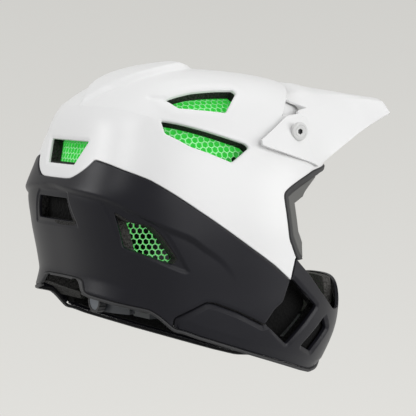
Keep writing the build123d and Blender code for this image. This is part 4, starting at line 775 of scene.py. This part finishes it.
def chin_shape(f):
    """The chin bar: a bevelled upper edge, soft vent edges and its lower facets."""
    back = smooth((f["y"] - place(CHAMFER_END_SHARE, 0)[0]) / CHAMFER_FADE)
    shape = -CHAMFER_DEPTH * (1 - np.clip((f["chin_seam"] - CHIN_SEAM_GAP) / CHAMFER_WIDTH, 0, 1)) * back
    shape -= edge_sink(f, "chin_vent") * (1 - back) + edge_sink(f, "chin_slot")
    shape -= FOOT_SINK * np.clip((FOOT_WIDTH - f["rim"]) / FOOT_WIDTH, 0, 1)
    return np.maximum(shape, -CHIN_LOWEST_RELIEF)


def build_shells():
    """The white shell, the dark shell and the chin bar."""
    f = FIELDS
    gap = np.maximum(np.abs(f["seat_line"]) - SEAT_LINE_GAP, -f["seat"])
    region = np.minimum.reduce([f["white"] - SEAM_GAP, f["port"], -f["chin_seam"] - WHITE_SEAM_GAP,
                                -f["upper_vent"], -f["lower_vent"], -f["rear_vent"], gap])
    upper = skin_piece("upper_shell_skin", SKIN, region, crown_shape, SHELL_WALL, WHITE,
                       cuts=[("deck", 0.0), ("ridge", 0.0), ("ridge", RIDGE_SLOPE)])
    stand_for(upper, "helmet", "white_shell", "upper_shell", "upper_shell_right", "upper_shell_left")

    region = np.minimum.reduce([-f["white"] - SEAM_GAP, -f["chin_seam"] - DARK_SEAM_GAP, f["rim"], -f["diamond"],
                                -f["exhaust"]])
    creases = [(name, level) for name in ("diamond_recess", "exhaust_recess") for level in (0.0, RECESSES[name][1])]
    lower = skin_piece("lower_shell_skin", SKIN, region, dark_shape, SHELL_WALL, CHARCOAL, cuts=creases, sharp=28.0)
    stand_for(lower, "helmet", "dark_shell", "lower_shell", "lower_shell_right", "lower_shell_left")

    region = np.minimum.reduce([f["chin_seam"] - CHIN_SEAM_GAP, f["port"], f["rim"], -f["chin_vent"],
                                -f["chin_slot"], -f["mouth"]])
    bar = skin_piece("chin_bar_skin", SKIN, region, chin_shape, CHIN_WALL, CHARCOAL,
                     cuts=[("chin_seam", CHIN_SEAM_GAP + CHAMFER_WIDTH), ("chin_slot", -EDGE_SINKS["chin_slot"][1]),
                           ("rim", FOOT_WIDTH)], sharp=14.0)
    stand_for(bar, "helmet", "dark_shell", "chin_bar_shell", "chin_bar_shell_right", "chin_bar_shell_left")


def build_backs():
    """Near-black foam sheets behind the chin bar's openings and the exhaust vent, whose colour is painted shade
    inside them.
    """
    for field, depth in BACK_DEPTHS.items():
        panel = skin_piece(field + "_back", SKIN,
                           np.minimum(FIELDS[field] + BACK_OVERLAP, FIELDS["rim"] - BACK_INSET),
                           lambda f: np.full(len(f["y"]), -depth), BACK_WALL, SHADE_BLACK_FOAM, lip=BACK_LIP)
        stand_for(panel, "helmet", "foam")


def build_trim():
    """The eye port's band with its grey lip, and the edging of the lower rim."""
    inside = -FIELDS["port"]
    above = -FIELDS["chin_seam"] + TRIM_FOOT
    reach = FIELDS["port_inner"]
    band = skin_piece("port_band", SKIN, np.minimum.reduce([inside - TRIM_GAP, BAND_WIDTH - inside, above, reach]),
                      lambda f: BAND_STAND - BAND_ROLL * smooth(-f["port"] / BAND_ROLL_WIDTH), BAND_WALL, RUBBER,
                      lip=TRIM_RADIUS)
    stand_for(band, "helmet", "trim", "port_trim", "port_trim_right", "port_trim_left")
    lip = skin_piece("port_lip", SKIN, np.minimum.reduce([inside - LIP_START, reach, above, LIP_END - inside]),
                     lambda f: -LIP_DEPTH - LIP_LEAN * np.clip(-f["port"] - LIP_START, 0, LIP_LEAN_WIDTH), LIP_WALL,
                     TRIM_GREY, lip=TRIM_RADIUS)
    stand_for(lip, "helmet", "trim")
    edging = skin_piece("rim_edging", SKIN, np.minimum(-FIELDS["rim"] - EDGING_GAP, EDGING_HEIGHT + FIELDS["rim"]),
                        lambda f: EDGING_STAND + flare(f), EDGING_WALL, RUBBER, lip=EDGING_RADIUS)
    stand_for(edging, "helmet", "trim", "base_edging")


# Tube cores and foam

SIDE_VIEW = (1, 2)
REAR_VIEW = (0, 2)
# The side and crown cores stop short of the middle
SIDE_CORE_END = -HALF_WIDTH / 3
CROWN_CORE_END = -HALF_WIDTH / 5
SIDE_TUBE_WAY = (-0.855, 0.51, 0.075)
CROWN_TUBE_WAY = (-0.80, 0, 0.60)
REAR_TUBE_WAY = (0, 1, 0.25)
REAR_CORE = (0.33, 0.33, 0.50, 0.20)
TUBE_PITCH = 5.4
TUBE_HOLE_SHARE = 0.84
TUBE_SUNK = 0.4
SIDE_TUBE_PITCH = 5.0
SIDE_TUBE_HOLE_SHARE = 0.86
SIDE_TUBE_SUNK = 1.0
TUBE_ROWS = 26
# A ring of a tube has its six corners and the middles of its six sides
RING_POINTS = 12
TUBE_OVERLAP = 0.3
TUBE_CHAMFER = 0.15
TUBE_END_GAP = 0.8
RAMP_REAR = ((0.895, -0.030), (0.815, -0.285))
RAMP_FRONT = ((0.745, -0.100), (0.68, -0.282))
RAMP_STEPS = 12
RAMP_GAP = 0.5
RAMP_THICKNESS = 4.0
RAMP_WAY = (0.82, -0.57, 0.0)
FILTER_DEPTHS = (5.2, 12.0)
FILTER_OVERLAP_SHARE = 0.10
FILTER_ABOVE = 7.0
FILTER_BELOW = 4.0
FILTER_STEPS = 25


def unit(way):
    """A direction with length 1."""
    way = np.array(way, float)
    return way / np.linalg.norm(way)


def tube_core(name, node, corners, view, way, x_end, mirror, pitch=TUBE_PITCH, hole_share=TUBE_HOLE_SHARE,
              sunk=TUBE_SUNK):
    """A block of hexagon-packed tubes that fills a window of the foam, outlined in the side or the rear view."""
    way = unit(way)
    across = unit(np.cross(way, (0, 0, 1)))
    upward = np.cross(across, way)
    origin = np.zeros(3)
    origin[list(view)] = corners.mean(0)
    steps = np.arange(-TUBE_ROWS, TUBE_ROWS + 1)
    rows, columns = (grid.reshape(-1, 1) for grid in np.meshgrid(steps, steps, indexing="ij"))
    start = origin + (columns + 0.5 * (rows % 2)) * pitch * across + rows * pitch * math.sqrt(3) / 2 * upward
    outer_depth = -SHELL_WALL - CORE_COVER - sunk
    inner_depth = outer_depth - (LINER_DEPTH - CORE_COVER) + TUBE_END_GAP
    hits = surface_along(start, way, outer_depth)
    inside = flat_distance(hits[:, view], corners)[0]
    start = start[(inside > -TUBE_OVERLAP) & (hits[:, 0] < x_end)]
    turns = np.arange(RING_POINTS)
    angles = (turns + 1) * math.pi / 6
    reach = np.where(turns % 2 == 0, pitch / math.sqrt(3), pitch / 2)[:, None]
    ring = (np.cos(angles)[:, None] * across + np.sin(angles)[:, None] * upward) * reach
    outer_ring = (start[:, None] + ring).reshape(-1, 3)
    hole_ring = (start[:, None] + ring * hole_share).reshape(-1, 3)
    layers = ((outer_ring, outer_depth), (hole_ring, outer_depth - TUBE_CHAMFER),
              (hole_ring, inner_depth + TUBE_CHAMFER), (outer_ring, inner_depth))
    points = np.vstack([surface_along(ring_points, way, depth) for ring_points, depth in layers])
    size = len(outer_ring)
    first = np.arange(size)
    following = first // RING_POINTS * RING_POINTS + (first + 1) % RING_POINTS
    faces = []
    for level in range(4):
        a, b = level * size, (level + 1) % 4 * size
        faces.append(np.column_stack([first + a, following + a, following + b, first + b]))
    faces = np.vstack(faces)
    if mirror:
        points, faces = points * (-1, 1, 1), faces[:, ::-1]
    obj = make_mesh(name, points, faces, GREEN, sharp=50)
    obj.data.materials.append(HIGHLIT_GREEN)
    obj.data.materials.append(SHADED_GREEN)
    # painted highlight on the rims, glowing green walls, and painted shade in dark green at the inner ends and
    # between the tubes
    obj.data.polygons.foreach_set("material_index", np.repeat([1, 0, 2, 2], size).astype(np.int32))
    stand_for(obj, "helmet", "core", node)


def build_cores():
    """All five tube cores."""
    for side, mirror in SIDES:
        tube_core("side_tubes_" + side, "side_core_" + side, side_points(SIDE_CORE), SIDE_VIEW, SIDE_TUBE_WAY,
                  SIDE_CORE_END, mirror, SIDE_TUBE_PITCH, SIDE_TUBE_HOLE_SHARE, SIDE_TUBE_SUNK)
        tube_core("crown_tubes_" + side, "crown_core_" + side, side_points(CROWN_CORE), SIDE_VIEW, CROWN_TUBE_WAY,
                  CROWN_CORE_END, mirror)
    tube_core("rear_tubes", "rear_core", trapezoid(REAR_CORE), REAR_VIEW, REAR_TUBE_WAY, math.inf, False)


def edit_mesh(obj, change):
    """Passes an object's mesh through a function of its bmesh."""
    work = bmesh.new()
    work.from_mesh(obj.data)
    change(work)
    work.to_mesh(obj.data)
    work.free()


def grid_quads(rows, columns):
    """The points' numbers in a grid, and its four-cornered faces."""
    index = np.arange(rows * columns).reshape(rows, columns)
    return index, np.stack([index[:-1, :-1], index[1:, :-1], index[1:, 1:], index[:-1, 1:]], -1).reshape(-1, 4)


def slab(name, face, back, surface, sharp=30):
    """A closed piece between two grids of points."""
    index, quads = grid_quads(*face.shape[:2])
    rim = np.concatenate([index[0, :-1], index[:-1, -1], index[-1, :0:-1], index[:0:-1, 0]])
    after = np.roll(rim, -1)
    walls = np.column_stack([rim, after, after + index.size, rim + index.size])
    faces = np.concatenate([quads, quads[:, ::-1] + index.size, walls])
    obj = make_mesh(name, np.concatenate([face.reshape(-1, 3), back.reshape(-1, 3)]), faces, surface, sharp)
    edit_mesh(obj, lambda work: bmesh.ops.recalc_face_normals(work, faces=work.faces))
    return obj


def foam_ramp(name, mirror):
    """The foam's slope at the rear end of a side window, from the shell down to the tubes."""
    rims = []
    for outline, depth in ((RAMP_REAR, -SHELL_WALL - RAMP_GAP), (RAMP_FRONT, -SHELL_WALL - CORE_COVER)):
        top, foot = side_points(outline)
        line = top + np.linspace(0, 1, RAMP_STEPS)[:, None] * (foot - top)
        rims.append(np.column_stack([-form_side(line[:, 0], line[:, 1], depth), line]))
    share = np.linspace(0, 1, RAMP_STEPS)[:, None, None]
    face = rims[0] * (1 - share) + rims[1] * share
    back = face + np.array(RAMP_WAY) * RAMP_THICKNESS
    flip = (-1, 1, 1) if mirror else (1, 1, 1)
    stand_for(slab(name, face * flip, back * flip, FOAM), "helmet", "foam")


def mouth_filter():
    """The dark foam sheet behind the mouth grille."""
    half, foot_half, top, foot = MOUTH_PORT
    reach = (half + FILTER_OVERLAP_SHARE) * HALF_WIDTH
    z, x = np.meshgrid(np.linspace(place(0, top)[1] + FILTER_ABOVE, place(0, foot)[1] - FILTER_BELOW, FILTER_STEPS),
                       np.linspace(-reach, reach, FILTER_STEPS), indexing="ij")
    start = np.stack([x, np.zeros_like(x), z], -1)
    face, back = (surface_along(start.reshape(-1, 3), np.array((0, -1, 0)), -depth).reshape(start.shape)
                  for depth in FILTER_DEPTHS)
    stand_for(slab("mouth_filter", face, back, FOAM), "helmet", "foam")


# Visor

VISOR_WALL = 2.0
VISOR_EDGE = 0.6
VISOR_WELD = 0.02
WING_STAND = 0.9
WING_FLARE = 3.0
WING_FLARE_END = -0.50
VISOR_REACH = 195.0
PIVOT_FORWARD = 65.0
PIVOT_HEIGHT = 52.0
TONGUE_DEPTH = 3.8
WING_BACK = ((-0.145, 0.450, 0.408), (-0.20, 0.492, 0.381), (-0.263, 0.540, 0.355), (-0.32, 0.582, 0.330),
             (-0.38, 0.622, 0.305), (-0.44, 0.632, 0.281), (-0.50, 0.640, 0.258), (-0.55, 0.650, 0.236),
             (-0.60, 0.661, 0.215), (-0.69, 0.678, 0.240))
WING_FRONT = (
    (0.641, ((0.400, 0.702), (0.50, 0.53), (0.575, 0.33))),
    (0.795, ((0.277, 0.728), (0.375, 0.61), (0.465, 0.455))),
    (0.897, ((0.268, 0.731), (0.34, 0.645), (0.415, 0.54))),
    (1.000, ((0.277, 0.707), (0.325, 0.665), (0.375, 0.615))),
)
PLATEAU = (
    (0.538, ((0.00, 0.875), (0.18, 0.865), (0.34, 0.817), (0.42, 0.750), (0.49, 0.663))),
    (0.641, ((0.00, 0.841), (0.16, 0.832), (0.29, 0.793), (0.35, 0.750), (0.40, 0.702))),
    (0.795, ((0.00, 0.798), (0.125, 0.793), (0.215, 0.774), (0.250, 0.752), (0.277, 0.728))),
    (0.897, ((0.00, 0.769), (0.107, 0.766), (0.196, 0.755), (0.235, 0.743), (0.268, 0.731))),
    (1.000, ((0.00, 0.745), (0.107, 0.740), (0.196, 0.731), (0.240, 0.719), (0.277, 0.707))),
)
# The tongue's points across, its rows as degrees round the pivot line with the share of its depth that each is
# lifted by, and the degrees at which its reach is measured
TONGUE_SIDE = (0.0, 0.20, 0.37, 0.45, 0.53)
TONGUE_LIFTS = {12.0: 0.0, 18.0: 0.0, 24.0: 0.0, 35.0: 0.2}
TONGUE_PROBES = (-4, 10, 24)
PLATEAU_ROWS = 90
PLATEAU_COLUMNS = 33
WING_SAMPLES = 9
WING_COLUMNS = 25
WING_ROWS = 80
TIP_ROWS = 49
JOIN_BEHIND = 24
JOIN_AHEAD = 19
JOIN_ROUNDS = 120
JOIN_FADE = 34


def catmull(rows, at):
    """Rows of points interpolated smoothly along their first axis."""
    rows = np.asarray(rows, float)
    padded = np.concatenate([[2 * rows[0] - rows[1]], rows, [2 * rows[-1] - rows[-2]]])
    i = np.minimum(np.floor(at).astype(int), len(rows) - 2)
    f = (at - i).reshape((-1,) + (1,) * (rows.ndim - 1))
    return catmull_blend(padded[i], padded[i + 1], padded[i + 2], padded[i + 3], f)


def refine(grid, rows, columns):
    """A grid of points made finer both ways, rows being stations along it."""
    fine = catmull(grid, rows)
    return catmull(fine.transpose(1, 0, 2), np.linspace(0, grid.shape[1] - 1, columns)).transpose(1, 0, 2)


def visor_plateau():
    """The visor's raised middle, from the tongue in the crown's recess to the tip, both halves."""
    rows = []
    for turn, lift in TONGUE_LIFTS.items():
        angle = math.radians(turn)
        row = []
        for side in TONGUE_SIDE:
            start = np.array([(side * HALF_WIDTH, -PIVOT_FORWARD, PIVOT_HEIGHT)])
            reach = lift * TONGUE_DEPTH
            for probe in TONGUE_PROBES:
                way = np.array((0, -math.sin(math.radians(probe)), math.cos(math.radians(probe))))
                hit = surface_along(start, way, -TONGUE_DEPTH)
                reach += np.linalg.norm(hit - start) / len(TONGUE_PROBES)
            row.append(start[0] + reach * np.array((0, -math.sin(angle), math.cos(angle))))
        rows.append(row)
    for forward, points in PLATEAU:
        rows.append([(x * HALF_WIDTH, -forward * VISOR_REACH, z * CROWN_HEIGHT) for x, z in points])
    half = refine(np.array(rows), np.linspace(0, len(rows) - 1, PLATEAU_ROWS), PLATEAU_COLUMNS)
    return np.concatenate([(half * (-1, 1, 1))[:, ::-1], half[:, 1:]], 1)


def visor_wing(edge):
    """The left wing, from its rear corner to the tip, joined to the plateau's edge along the tip's rows."""
    rows = []
    rear_y, front_y = place(WING_BACK[0][0], 0)[0], place(WING_FLARE_END, 0)[0]
    for forward, top, low in WING_BACK:
        y = np.full(WING_SAMPLES, float(place(forward, 0)[0]))
        z = np.linspace(top, low, WING_SAMPLES) * CROWN_HEIGHT
        stand = WING_STAND + WING_FLARE * max(0.0, (y[0] - front_y) / (rear_y - front_y))
        rows.append(np.column_stack([form_side(y, z, round(stand + VISOR_WALL, 3)), y, z]))
    for forward, points in WING_FRONT:
        xz = catmull(np.array(points) * (HALF_WIDTH, CROWN_HEIGHT), np.linspace(0, 2, WING_SAMPLES))
        rows.append(np.column_stack([xz[:, 0], np.full(WING_SAMPLES, -forward * VISOR_REACH), xz[:, 1]]))
    back = len(WING_BACK)
    stations = np.concatenate([np.linspace(0, back, WING_ROWS), back + np.linspace(0, 3, TIP_ROWS)[1:]])
    wing = refine(np.array(rows), stations, WING_COLUMNS)
    # the stretch around the join is relaxed, but not at the wing's lower edge
    join = WING_ROWS - 1
    hold = 1 - np.linspace(0, 1, WING_COLUMNS) ** 4
    for step in range(JOIN_ROUNDS):
        window = wing[join - JOIN_BEHIND:join + JOIN_AHEAD]
        middle = (window[:-2] + window[2:]) / 2
        wing[join - JOIN_BEHIND + 1:join + JOIN_AHEAD - 1] += 0.5 * (middle - window[1:-1]) * hold[None, :, None]
    share = np.linspace(1, 0, WING_COLUMNS)[None, :, None]
    shift = edge - wing[-TIP_ROWS:, 0]
    wing[-TIP_ROWS:] += shift[:, None] * share
    fade = smooth(np.linspace(0, 1, JOIN_FADE + 1)[:-1])[:, None, None]
    wing[-TIP_ROWS - JOIN_FADE:-TIP_ROWS] += shift[0] * fade * share
    return wing


def weld_visor(work):
    """Joins the visor's sheets along their edges and turns their faces up."""
    bmesh.ops.remove_doubles(work, verts=work.verts, dist=VISOR_WELD * MM)
    bmesh.ops.recalc_face_normals(work, faces=work.faces)
    top = max(work.faces, key=lambda face: face.calc_center_median().z)
    if top.normal.z < 0:
        bmesh.ops.reverse_faces(work, faces=work.faces)


def build_visor():
    """The visor: its plateau with the tongue and both wings, as one walled sheet."""
    plateau = visor_plateau()
    wing = visor_wing(plateau[-TIP_ROWS:, -1])
    points, faces, start = [], [], 0
    for grid in (plateau, wing[:, ::-1], wing * (-1, 1, 1)):
        index, quads = grid_quads(*grid.shape[:2])
        # the plateau's faces run the other way round from the wings'
        quads = np.roll(quads[:, ::-1], 1, 1) if start else np.roll(quads, -1, 1)
        faces.append(quads + start)
        points.append(grid.reshape(-1, 3))
        start += index.size
    obj = make_mesh("visor_skin", np.vstack(points), np.vstack(faces), WHITE)
    edit_mesh(obj, weld_visor)
    solid = obj.modifiers.new("wall", "SOLIDIFY")
    solid.thickness = VISOR_WALL * MM
    solid.offset = -1
    bevel = obj.modifiers.new("edge", "BEVEL")
    bevel.width = VISOR_EDGE * MM
    bevel.segments = 2
    bevel.limit_method = "ANGLE"
    bevel.angle_limit = math.radians(55)
    bpy.context.view_layer.objects.active = obj
    for modifier in ("wall", "edge"):
        bpy.ops.object.modifier_apply(modifier=modifier)
    shade(obj.data, 30)
    stand_for(obj, "visor", "white_shell", "visor")


# Pivot screws: rings of radius, height and flats, where flats squares a ring to that many sides
CAP_RINGS = ((2.35, -2.4, 6), (2.45, -0.5, 6), (2.7, -0.25, 6), (3.3, -0.1, 0), (4.4, 0.0, 0), (4.75, -0.35, 0),
             (5.35, -0.35, 0), (5.7, 0.0, 0), (6.7, -0.05, 0), (7.25, -0.4, 0), (7.5, -1.0, 0), (7.5, -3.0, 0),
             (3.0, -3.0, 0), (3.0, -21.5, 0), (0.0, -22.0, 0))
SOCKET_RINGS = ((0.0, -2.4, 6), (2.35, -2.4, 6), (2.42, -0.9, 6))
WASHER_RINGS = ((7.2, -3.0, 0), (7.7, -3.0, 0), (7.9, -3.2, 0), (7.9, -3.8, 0), (3.3, -3.8, 0))
SCREW_SUNK = 1.6
LATHE_STEPS = 48
LATHE_WELD = 0.001


def lathe(name, rings, surface, sunk, screw_face, way):
    """A turned piece on a pivot's line, way 1 on the left and -1 on the right."""
    points, faces = [], []
    for radius, height, flats in rings:
        for i in range(LATHE_STEPS):
            angle = 2 * math.pi * i / LATHE_STEPS
            reach = radius
            if flats:
                part = math.pi / flats
                reach = radius * math.cos(part) / math.cos(angle % (2 * part) - part)
            points.append((way * (screw_face + height - sunk), reach * math.sin(angle) * way - PIVOT_FORWARD,
                           reach * math.cos(angle) + PIVOT_HEIGHT))
    for ring in range(len(rings) - 1):
        a, b = ring * LATHE_STEPS, (ring + 1) * LATHE_STEPS
        for i in range(LATHE_STEPS):
            j = (i + 1) % LATHE_STEPS
            faces.append([b + i, b + j, a + j, a + i])
    obj = make_mesh(name, points, faces, surface, sharp=30)
    edit_mesh(obj, lambda work: bmesh.ops.remove_doubles(work, verts=work.verts, dist=LATHE_WELD * MM))
    shade(obj.data, 30)
    return obj


def build_pivots():
    """Both pivot screws: a ringed head with a hexagonal socket, and the washer in its shallow round seat."""
    for side, mirror in SIDES:
        node = "visor_screw_" + side
        way = 1 if mirror else -1
        screw_face = max(abs(vertex.co.x) for vertex in frame["nodes"][node].data.vertices) / MM
        stand_for(lathe(node + "_cap", CAP_RINGS, WHITE_CAP, SCREW_SUNK, screw_face, way), "helmet", "screw", node)
        stand_for(lathe(node + "_socket", SOCKET_RINGS, ANODISED, SCREW_SUNK, screw_face, way), "helmet", "screw")
        # the CAD holds both washers as one node, which the right one stands for
        washers = () if mirror else ("visor_washers",)
        stand_for(lathe(node + "_washer", WASHER_RINGS, WHITE_CAP, 0, screw_face, way), "helmet", "trim", *washers)


# Comfort pads: body, voxel size, rounds of smoothing, filling and puff
PADS = {
    "brow_pad": ("helmet", 1.2, 8, 0.7, 0.25),
    "crown_pad": ("helmet", 1.2, 8, 0.7, 0.25),
    "cheek_pad_right": ("helmet", 1.6, 12, 0.8, 0.3),
    "cheek_pad_left": ("helmet", 1.6, 12, 0.8, 0.3),
    "mouth_pad": ("helmet", 1.0, 8, 0.6, 0.25),
    "nape_pad": ("cradle", 1.2, 8, 0.7, 0.25),
}
PAD_WAVE = 0.25
PAD_WAVE_LENGTHS = (9.0, 14.0, 23.0)


def build_pad(node, body, voxel, rounds, fill, puff):
    """A soft pad grown from its CAD solid: rounded all over, crowned and slightly uneven."""
    obj = bpy.data.objects.new(node + "_soft", frame["nodes"][node].data.copy())
    bpy.context.collection.objects.link(obj)
    mesh = obj.data
    mesh.materials.clear()
    mesh.materials.append(PAD)
    bpy.context.view_layer.objects.active = obj
    remesh = obj.modifiers.new("voxels", "REMESH")
    remesh.mode = "VOXEL"
    remesh.voxel_size = voxel * MM
    relax = obj.modifiers.new("relax", "SMOOTH")
    relax.factor = 0.5
    relax.iterations = rounds
    for modifier in ("voxels", "relax"):
        bpy.ops.object.modifier_apply(modifier=modifier)
    mesh = obj.data
    count = len(mesh.vertices)
    co, normal = np.empty(count * 3), np.empty(count * 3)
    mesh.vertices.foreach_get("co", co)
    mesh.vertex_normals.foreach_get("vector", normal)
    co, normal = co.reshape(-1, 3), normal.reshape(-1, 3)
    waves = np.zeros(count)
    random = np.random.default_rng(sum(ord(letter) for letter in node))
    for size in PAD_WAVE_LENGTHS:
        way = unit(random.normal(size=3))
        waves += np.sin(co @ way / MM * 2 * math.pi / size + random.uniform(0, 6)) / len(PAD_WAVE_LENGTHS)
    co += normal * ((puff + PAD_WAVE * waves) * MM)[:, None]
    mesh.vertices.foreach_set("co", co.reshape(-1))
    mesh.update()
    mesh.shade_smooth()
    stand_for(obj, body, "pad", node)


# Webbing: the right strap's line in the front view, mirrored for the left one
STRAP_LINE = ((74.3, -53.2), (74.3, -70.8), (64.0, -88.5), (52.0, -101.1), (43.5, -105.1))
STRAP_RIGHT_END = 6.2
STRAP_LEFT_END = 40.4
LOOP_LINE = ((38.9, -106.8), (38.9, -105.1), (38.9, -103.4))
STRAP_BEND = 9.0
BEND_SHARE = 0.48
BEND_STEPS = 9
STRAP_MIDDLE = 10.0
STRAP_WIDTH = 18.0
STRAP_COLUMNS = 37
STRAP_HALF_THICKNESS = 0.78
STRAP_EDGE = 1.2
STRAP_THINNING = 0.75
RIB = 0.10
RIB_PITCH = 2.2
HERRINGBONE = 6.0
HERRINGBONE_START = 100.5
STRAP_STEP = 0.55


def round_line(points, radius):
    """An open line with its corners rounded."""
    points = np.array(points, float)
    out = [points[0]]
    for before, corner, after in zip(points, points[1:], points[2:]):
        out += corner_arc(before, corner, after, radius, BEND_SHARE, BEND_STEPS)
    return np.array(out + [points[-1]])


def webbing_strip(name, line, body, node):
    """A woven strip along a line in the front view, with herringbone ribs and thin edges."""
    path = round_line(line, STRAP_BEND)
    length = np.concatenate([[0], np.cumsum(np.linalg.norm(np.diff(path, axis=0), axis=1))])
    along = np.linspace(0, length[-1], max(int(length[-1] / STRAP_STEP), 4))
    middle = np.column_stack([np.interp(along, length, path[:, 0]), np.interp(along, length, path[:, 1])])
    run = np.gradient(middle, axis=0)
    run /= np.linalg.norm(run, axis=1)[:, None]
    out_way = np.column_stack([-run[:, 1], run[:, 0]])
    across = np.linspace(-STRAP_WIDTH / 2, STRAP_WIDTH / 2, STRAP_COLUMNS)
    slant = np.abs((across + HERRINGBONE_START) % HERRINGBONE - HERRINGBONE / 2)
    rib = RIB * np.sin(2 * math.pi * (along[:, None] + slant[None]) / RIB_PITCH)
    edge = np.clip((STRAP_WIDTH / 2 - np.abs(across)) / STRAP_EDGE, 0, 1)
    half = STRAP_HALF_THICKNESS * np.sqrt(1 - (1 - edge) ** 2 * STRAP_THINNING)[None] + rib * edge[None]
    sides = []
    for side in (1, -1):
        flat = middle[:, None] + side * half[..., None] * out_way[:, None]
        y = np.broadcast_to(STRAP_MIDDLE + across, flat.shape[:2])
        sides.append(np.stack([flat[..., 0], y, flat[..., 1]], -1))
    stand_for(slab(name, *sides, WEBBING, sharp=60), body, "webbing", node)


def build_straps():
    """Both chin straps and the sewn loop by the buckle."""
    low = STRAP_LINE[-1][1]
    right = [(-x, z) for x, z in STRAP_LINE] + [(STRAP_RIGHT_END, low)]
    webbing_strip("strap_right_webbing", right, "helmet", "strap_right")
    webbing_strip("strap_left_webbing", STRAP_LINE + ((STRAP_LEFT_END, low),), "helmet", "strap_left")
    webbing_strip("strap_loop_webbing", LOOP_LINE, "buckle", "strap_loop_left")


# Camera, light and floor: lights have their place in metres away from the object towards the camera, to the
# camera's right and up, then their size and their power
CAMERA_TURN = 31.0
CAMERA_LIFT = 4.5
CAMERA_DISTANCE = 1800.0
MM_PER_PIXEL = 0.855
PICTURE = 416
AIM = (28.2, -15.4)
SENSOR = 36.0
CLIP_END = 50.0
LIGHTS = {
    "key": ((1.2, -1.3, 1.5), 0.8, 11),
    "back_left": ((0.2, -2.1, 0.9), 0.8, 15),
    "fill": ((1.6, 1.4, 0.5), 1.8, 22),
    "top": ((-0.6, 0.4, 1.8), 1.4, 6),
    "side": ((0.2, 2.0, 0.1), 1.0, 11),
}
FLOOR_RADIUS = 1.3
FLOOR_SIDES = 96
FLOOR_HEIGHT = -0.55
FLOOR_FADE = (0.5, 1.25)
# The heights between which a backdrop's two colours blend, then the lower and the upper colour
SKY = (-0.9, 0.9, (0.20, 0.20, 0.205, 1), (0.42, 0.423, 0.432, 1))
BACKDROP = (-0.18, 0.03, (0.752, 0.745, 0.716, 1), (0.630, 0.624, 0.598, 1))


def build_camera():
    """The camera at the photograph's angle, and the ways towards it and to its right."""
    turn, lift = math.radians(CAMERA_TURN), math.radians(CAMERA_LIFT)
    away = Vector((-math.cos(turn) * math.cos(lift), math.sin(turn) * math.cos(lift), math.sin(lift)))
    right = (-away).cross(Vector((0, 0, 1))).normalized()
    target = right * AIM[0] + right.cross(-away) * AIM[1]
    data = bpy.data.cameras.new("camera")
    camera = bpy.data.objects.new("camera", data)
    bpy.context.collection.objects.link(camera)
    camera.location = (target + away * CAMERA_DISTANCE) * MM
    camera.rotation_euler = (-away).to_track_quat("-Z", "Y").to_euler()
    data.sensor_width = SENSOR
    data.lens = SENSOR * CAMERA_DISTANCE / (PICTURE * MM_PER_PIXEL)
    data.clip_end = CLIP_END
    bpy.context.scene.camera = camera
    return away, right


def build_lights(away, right):
    """The soft square lights, which all point at the helmet's centre."""
    for name, ((ahead, sideways, height), size, power) in LIGHTS.items():
        data = bpy.data.lights.new(name, "AREA")
        data.size = size
        data.energy = power
        light = bpy.data.objects.new(name, data)
        bpy.context.collection.objects.link(light)
        light.location = away * ahead + right * sideways + Vector((0, 0, height))
        light.rotation_euler = (-light.location).to_track_quat("-Z", "Y").to_euler()


def build_floor():
    """Pale round paper that fades out towards its edge and is clear from below."""
    paper = material("floor_paper", (0.72, 0.72, 0.70), 0.9, 0.0003, 400, 0.15, 0.01)
    tree = paper.node_tree
    where = add_node(tree, "TexCoord", {}).outputs["Object"]
    length = add_node(tree, "VectorMath", {0: where}, operation="LENGTH").outputs["Value"]
    fade = add_node(tree, "MapRange", {"From Min": FLOOR_FADE[0], "From Max": FLOOR_FADE[1], "To Min": 1.0,
                                       "To Max": 0.0, "Value": length})
    below = add_node(tree, "NewGeometry", {}).outputs["Backfacing"]
    seen = add_node(tree, "Math", {0: fade.outputs["Result"], 1: below}, operation="SUBTRACT", use_clamp=True)
    tree.links.new(seen.outputs["Value"], tree.nodes["Principled BSDF"].inputs["Alpha"])
    bpy.ops.mesh.primitive_circle_add(vertices=FLOOR_SIDES, radius=FLOOR_RADIUS, fill_type="NGON",
                                      location=(0, 0, FLOOR_HEIGHT))
    floor = bpy.context.object
    floor.name = "floor"
    floor.data.materials.append(paper)


def build_world():
    """A soft sky that lights the helmet, and the pale backdrop that the camera and reflections see."""
    world = bpy.data.worlds.new("world")
    bpy.context.scene.world = world
    world.use_nodes = True
    tree = world.node_tree
    where = add_node(tree, "TexCoord", {}).outputs["Generated"]
    height = add_node(tree, "SeparateXYZ", {"Vector": where}).outputs["Z"]
    shaders = (tree.nodes["Background"], add_node(tree, "Background", {}))
    for shader, (low, high, under, over) in zip(shaders, (SKY, BACKDROP)):
        climb = add_node(tree, "MapRange", {"From Min": low, "From Max": high, "Value": height})
        tone = add_node(tree, "Mix", {"A": under, "B": over, "Factor": climb.outputs["Result"]}, data_type="RGBA")
        tree.links.new(tone.outputs["Result"], shader.inputs["Color"])
        shader.inputs["Strength"].default_value = 1.0
    path = add_node(tree, "LightPath", {})
    seen = path.outputs["Is Camera Ray"]
    for kind in ("Is Glossy Ray", "Is Transmission Ray"):
        seen = add_node(tree, "Math", {0: seen, 1: path.outputs[kind]}, use_clamp=True).outputs["Value"]
    mix = add_node(tree, "MixShader", {"Fac": seen, 1: shaders[0].outputs["Background"],
                                       2: shaders[1].outputs["Background"]})
    tree.links.new(mix.outputs["Shader"], tree.nodes["World Output"].inputs["Surface"])


dress_cad()
SKIN = Skin()
FIELDS = SKIN.fields
draw_fields(SKIN)
build_shells()
build_backs()
build_trim()
build_cores()
build_visor()
build_pivots()
for pad, row in PADS.items():
    build_pad(pad, *row)
build_straps()
for side, mirror in SIDES:
    foam_ramp("foam_ramp_" + side, mirror)
mouth_filter()
build_world()
build_floor()
build_lights(*build_camera())
bpy.context.scene.view_settings.view_transform = "Standard"
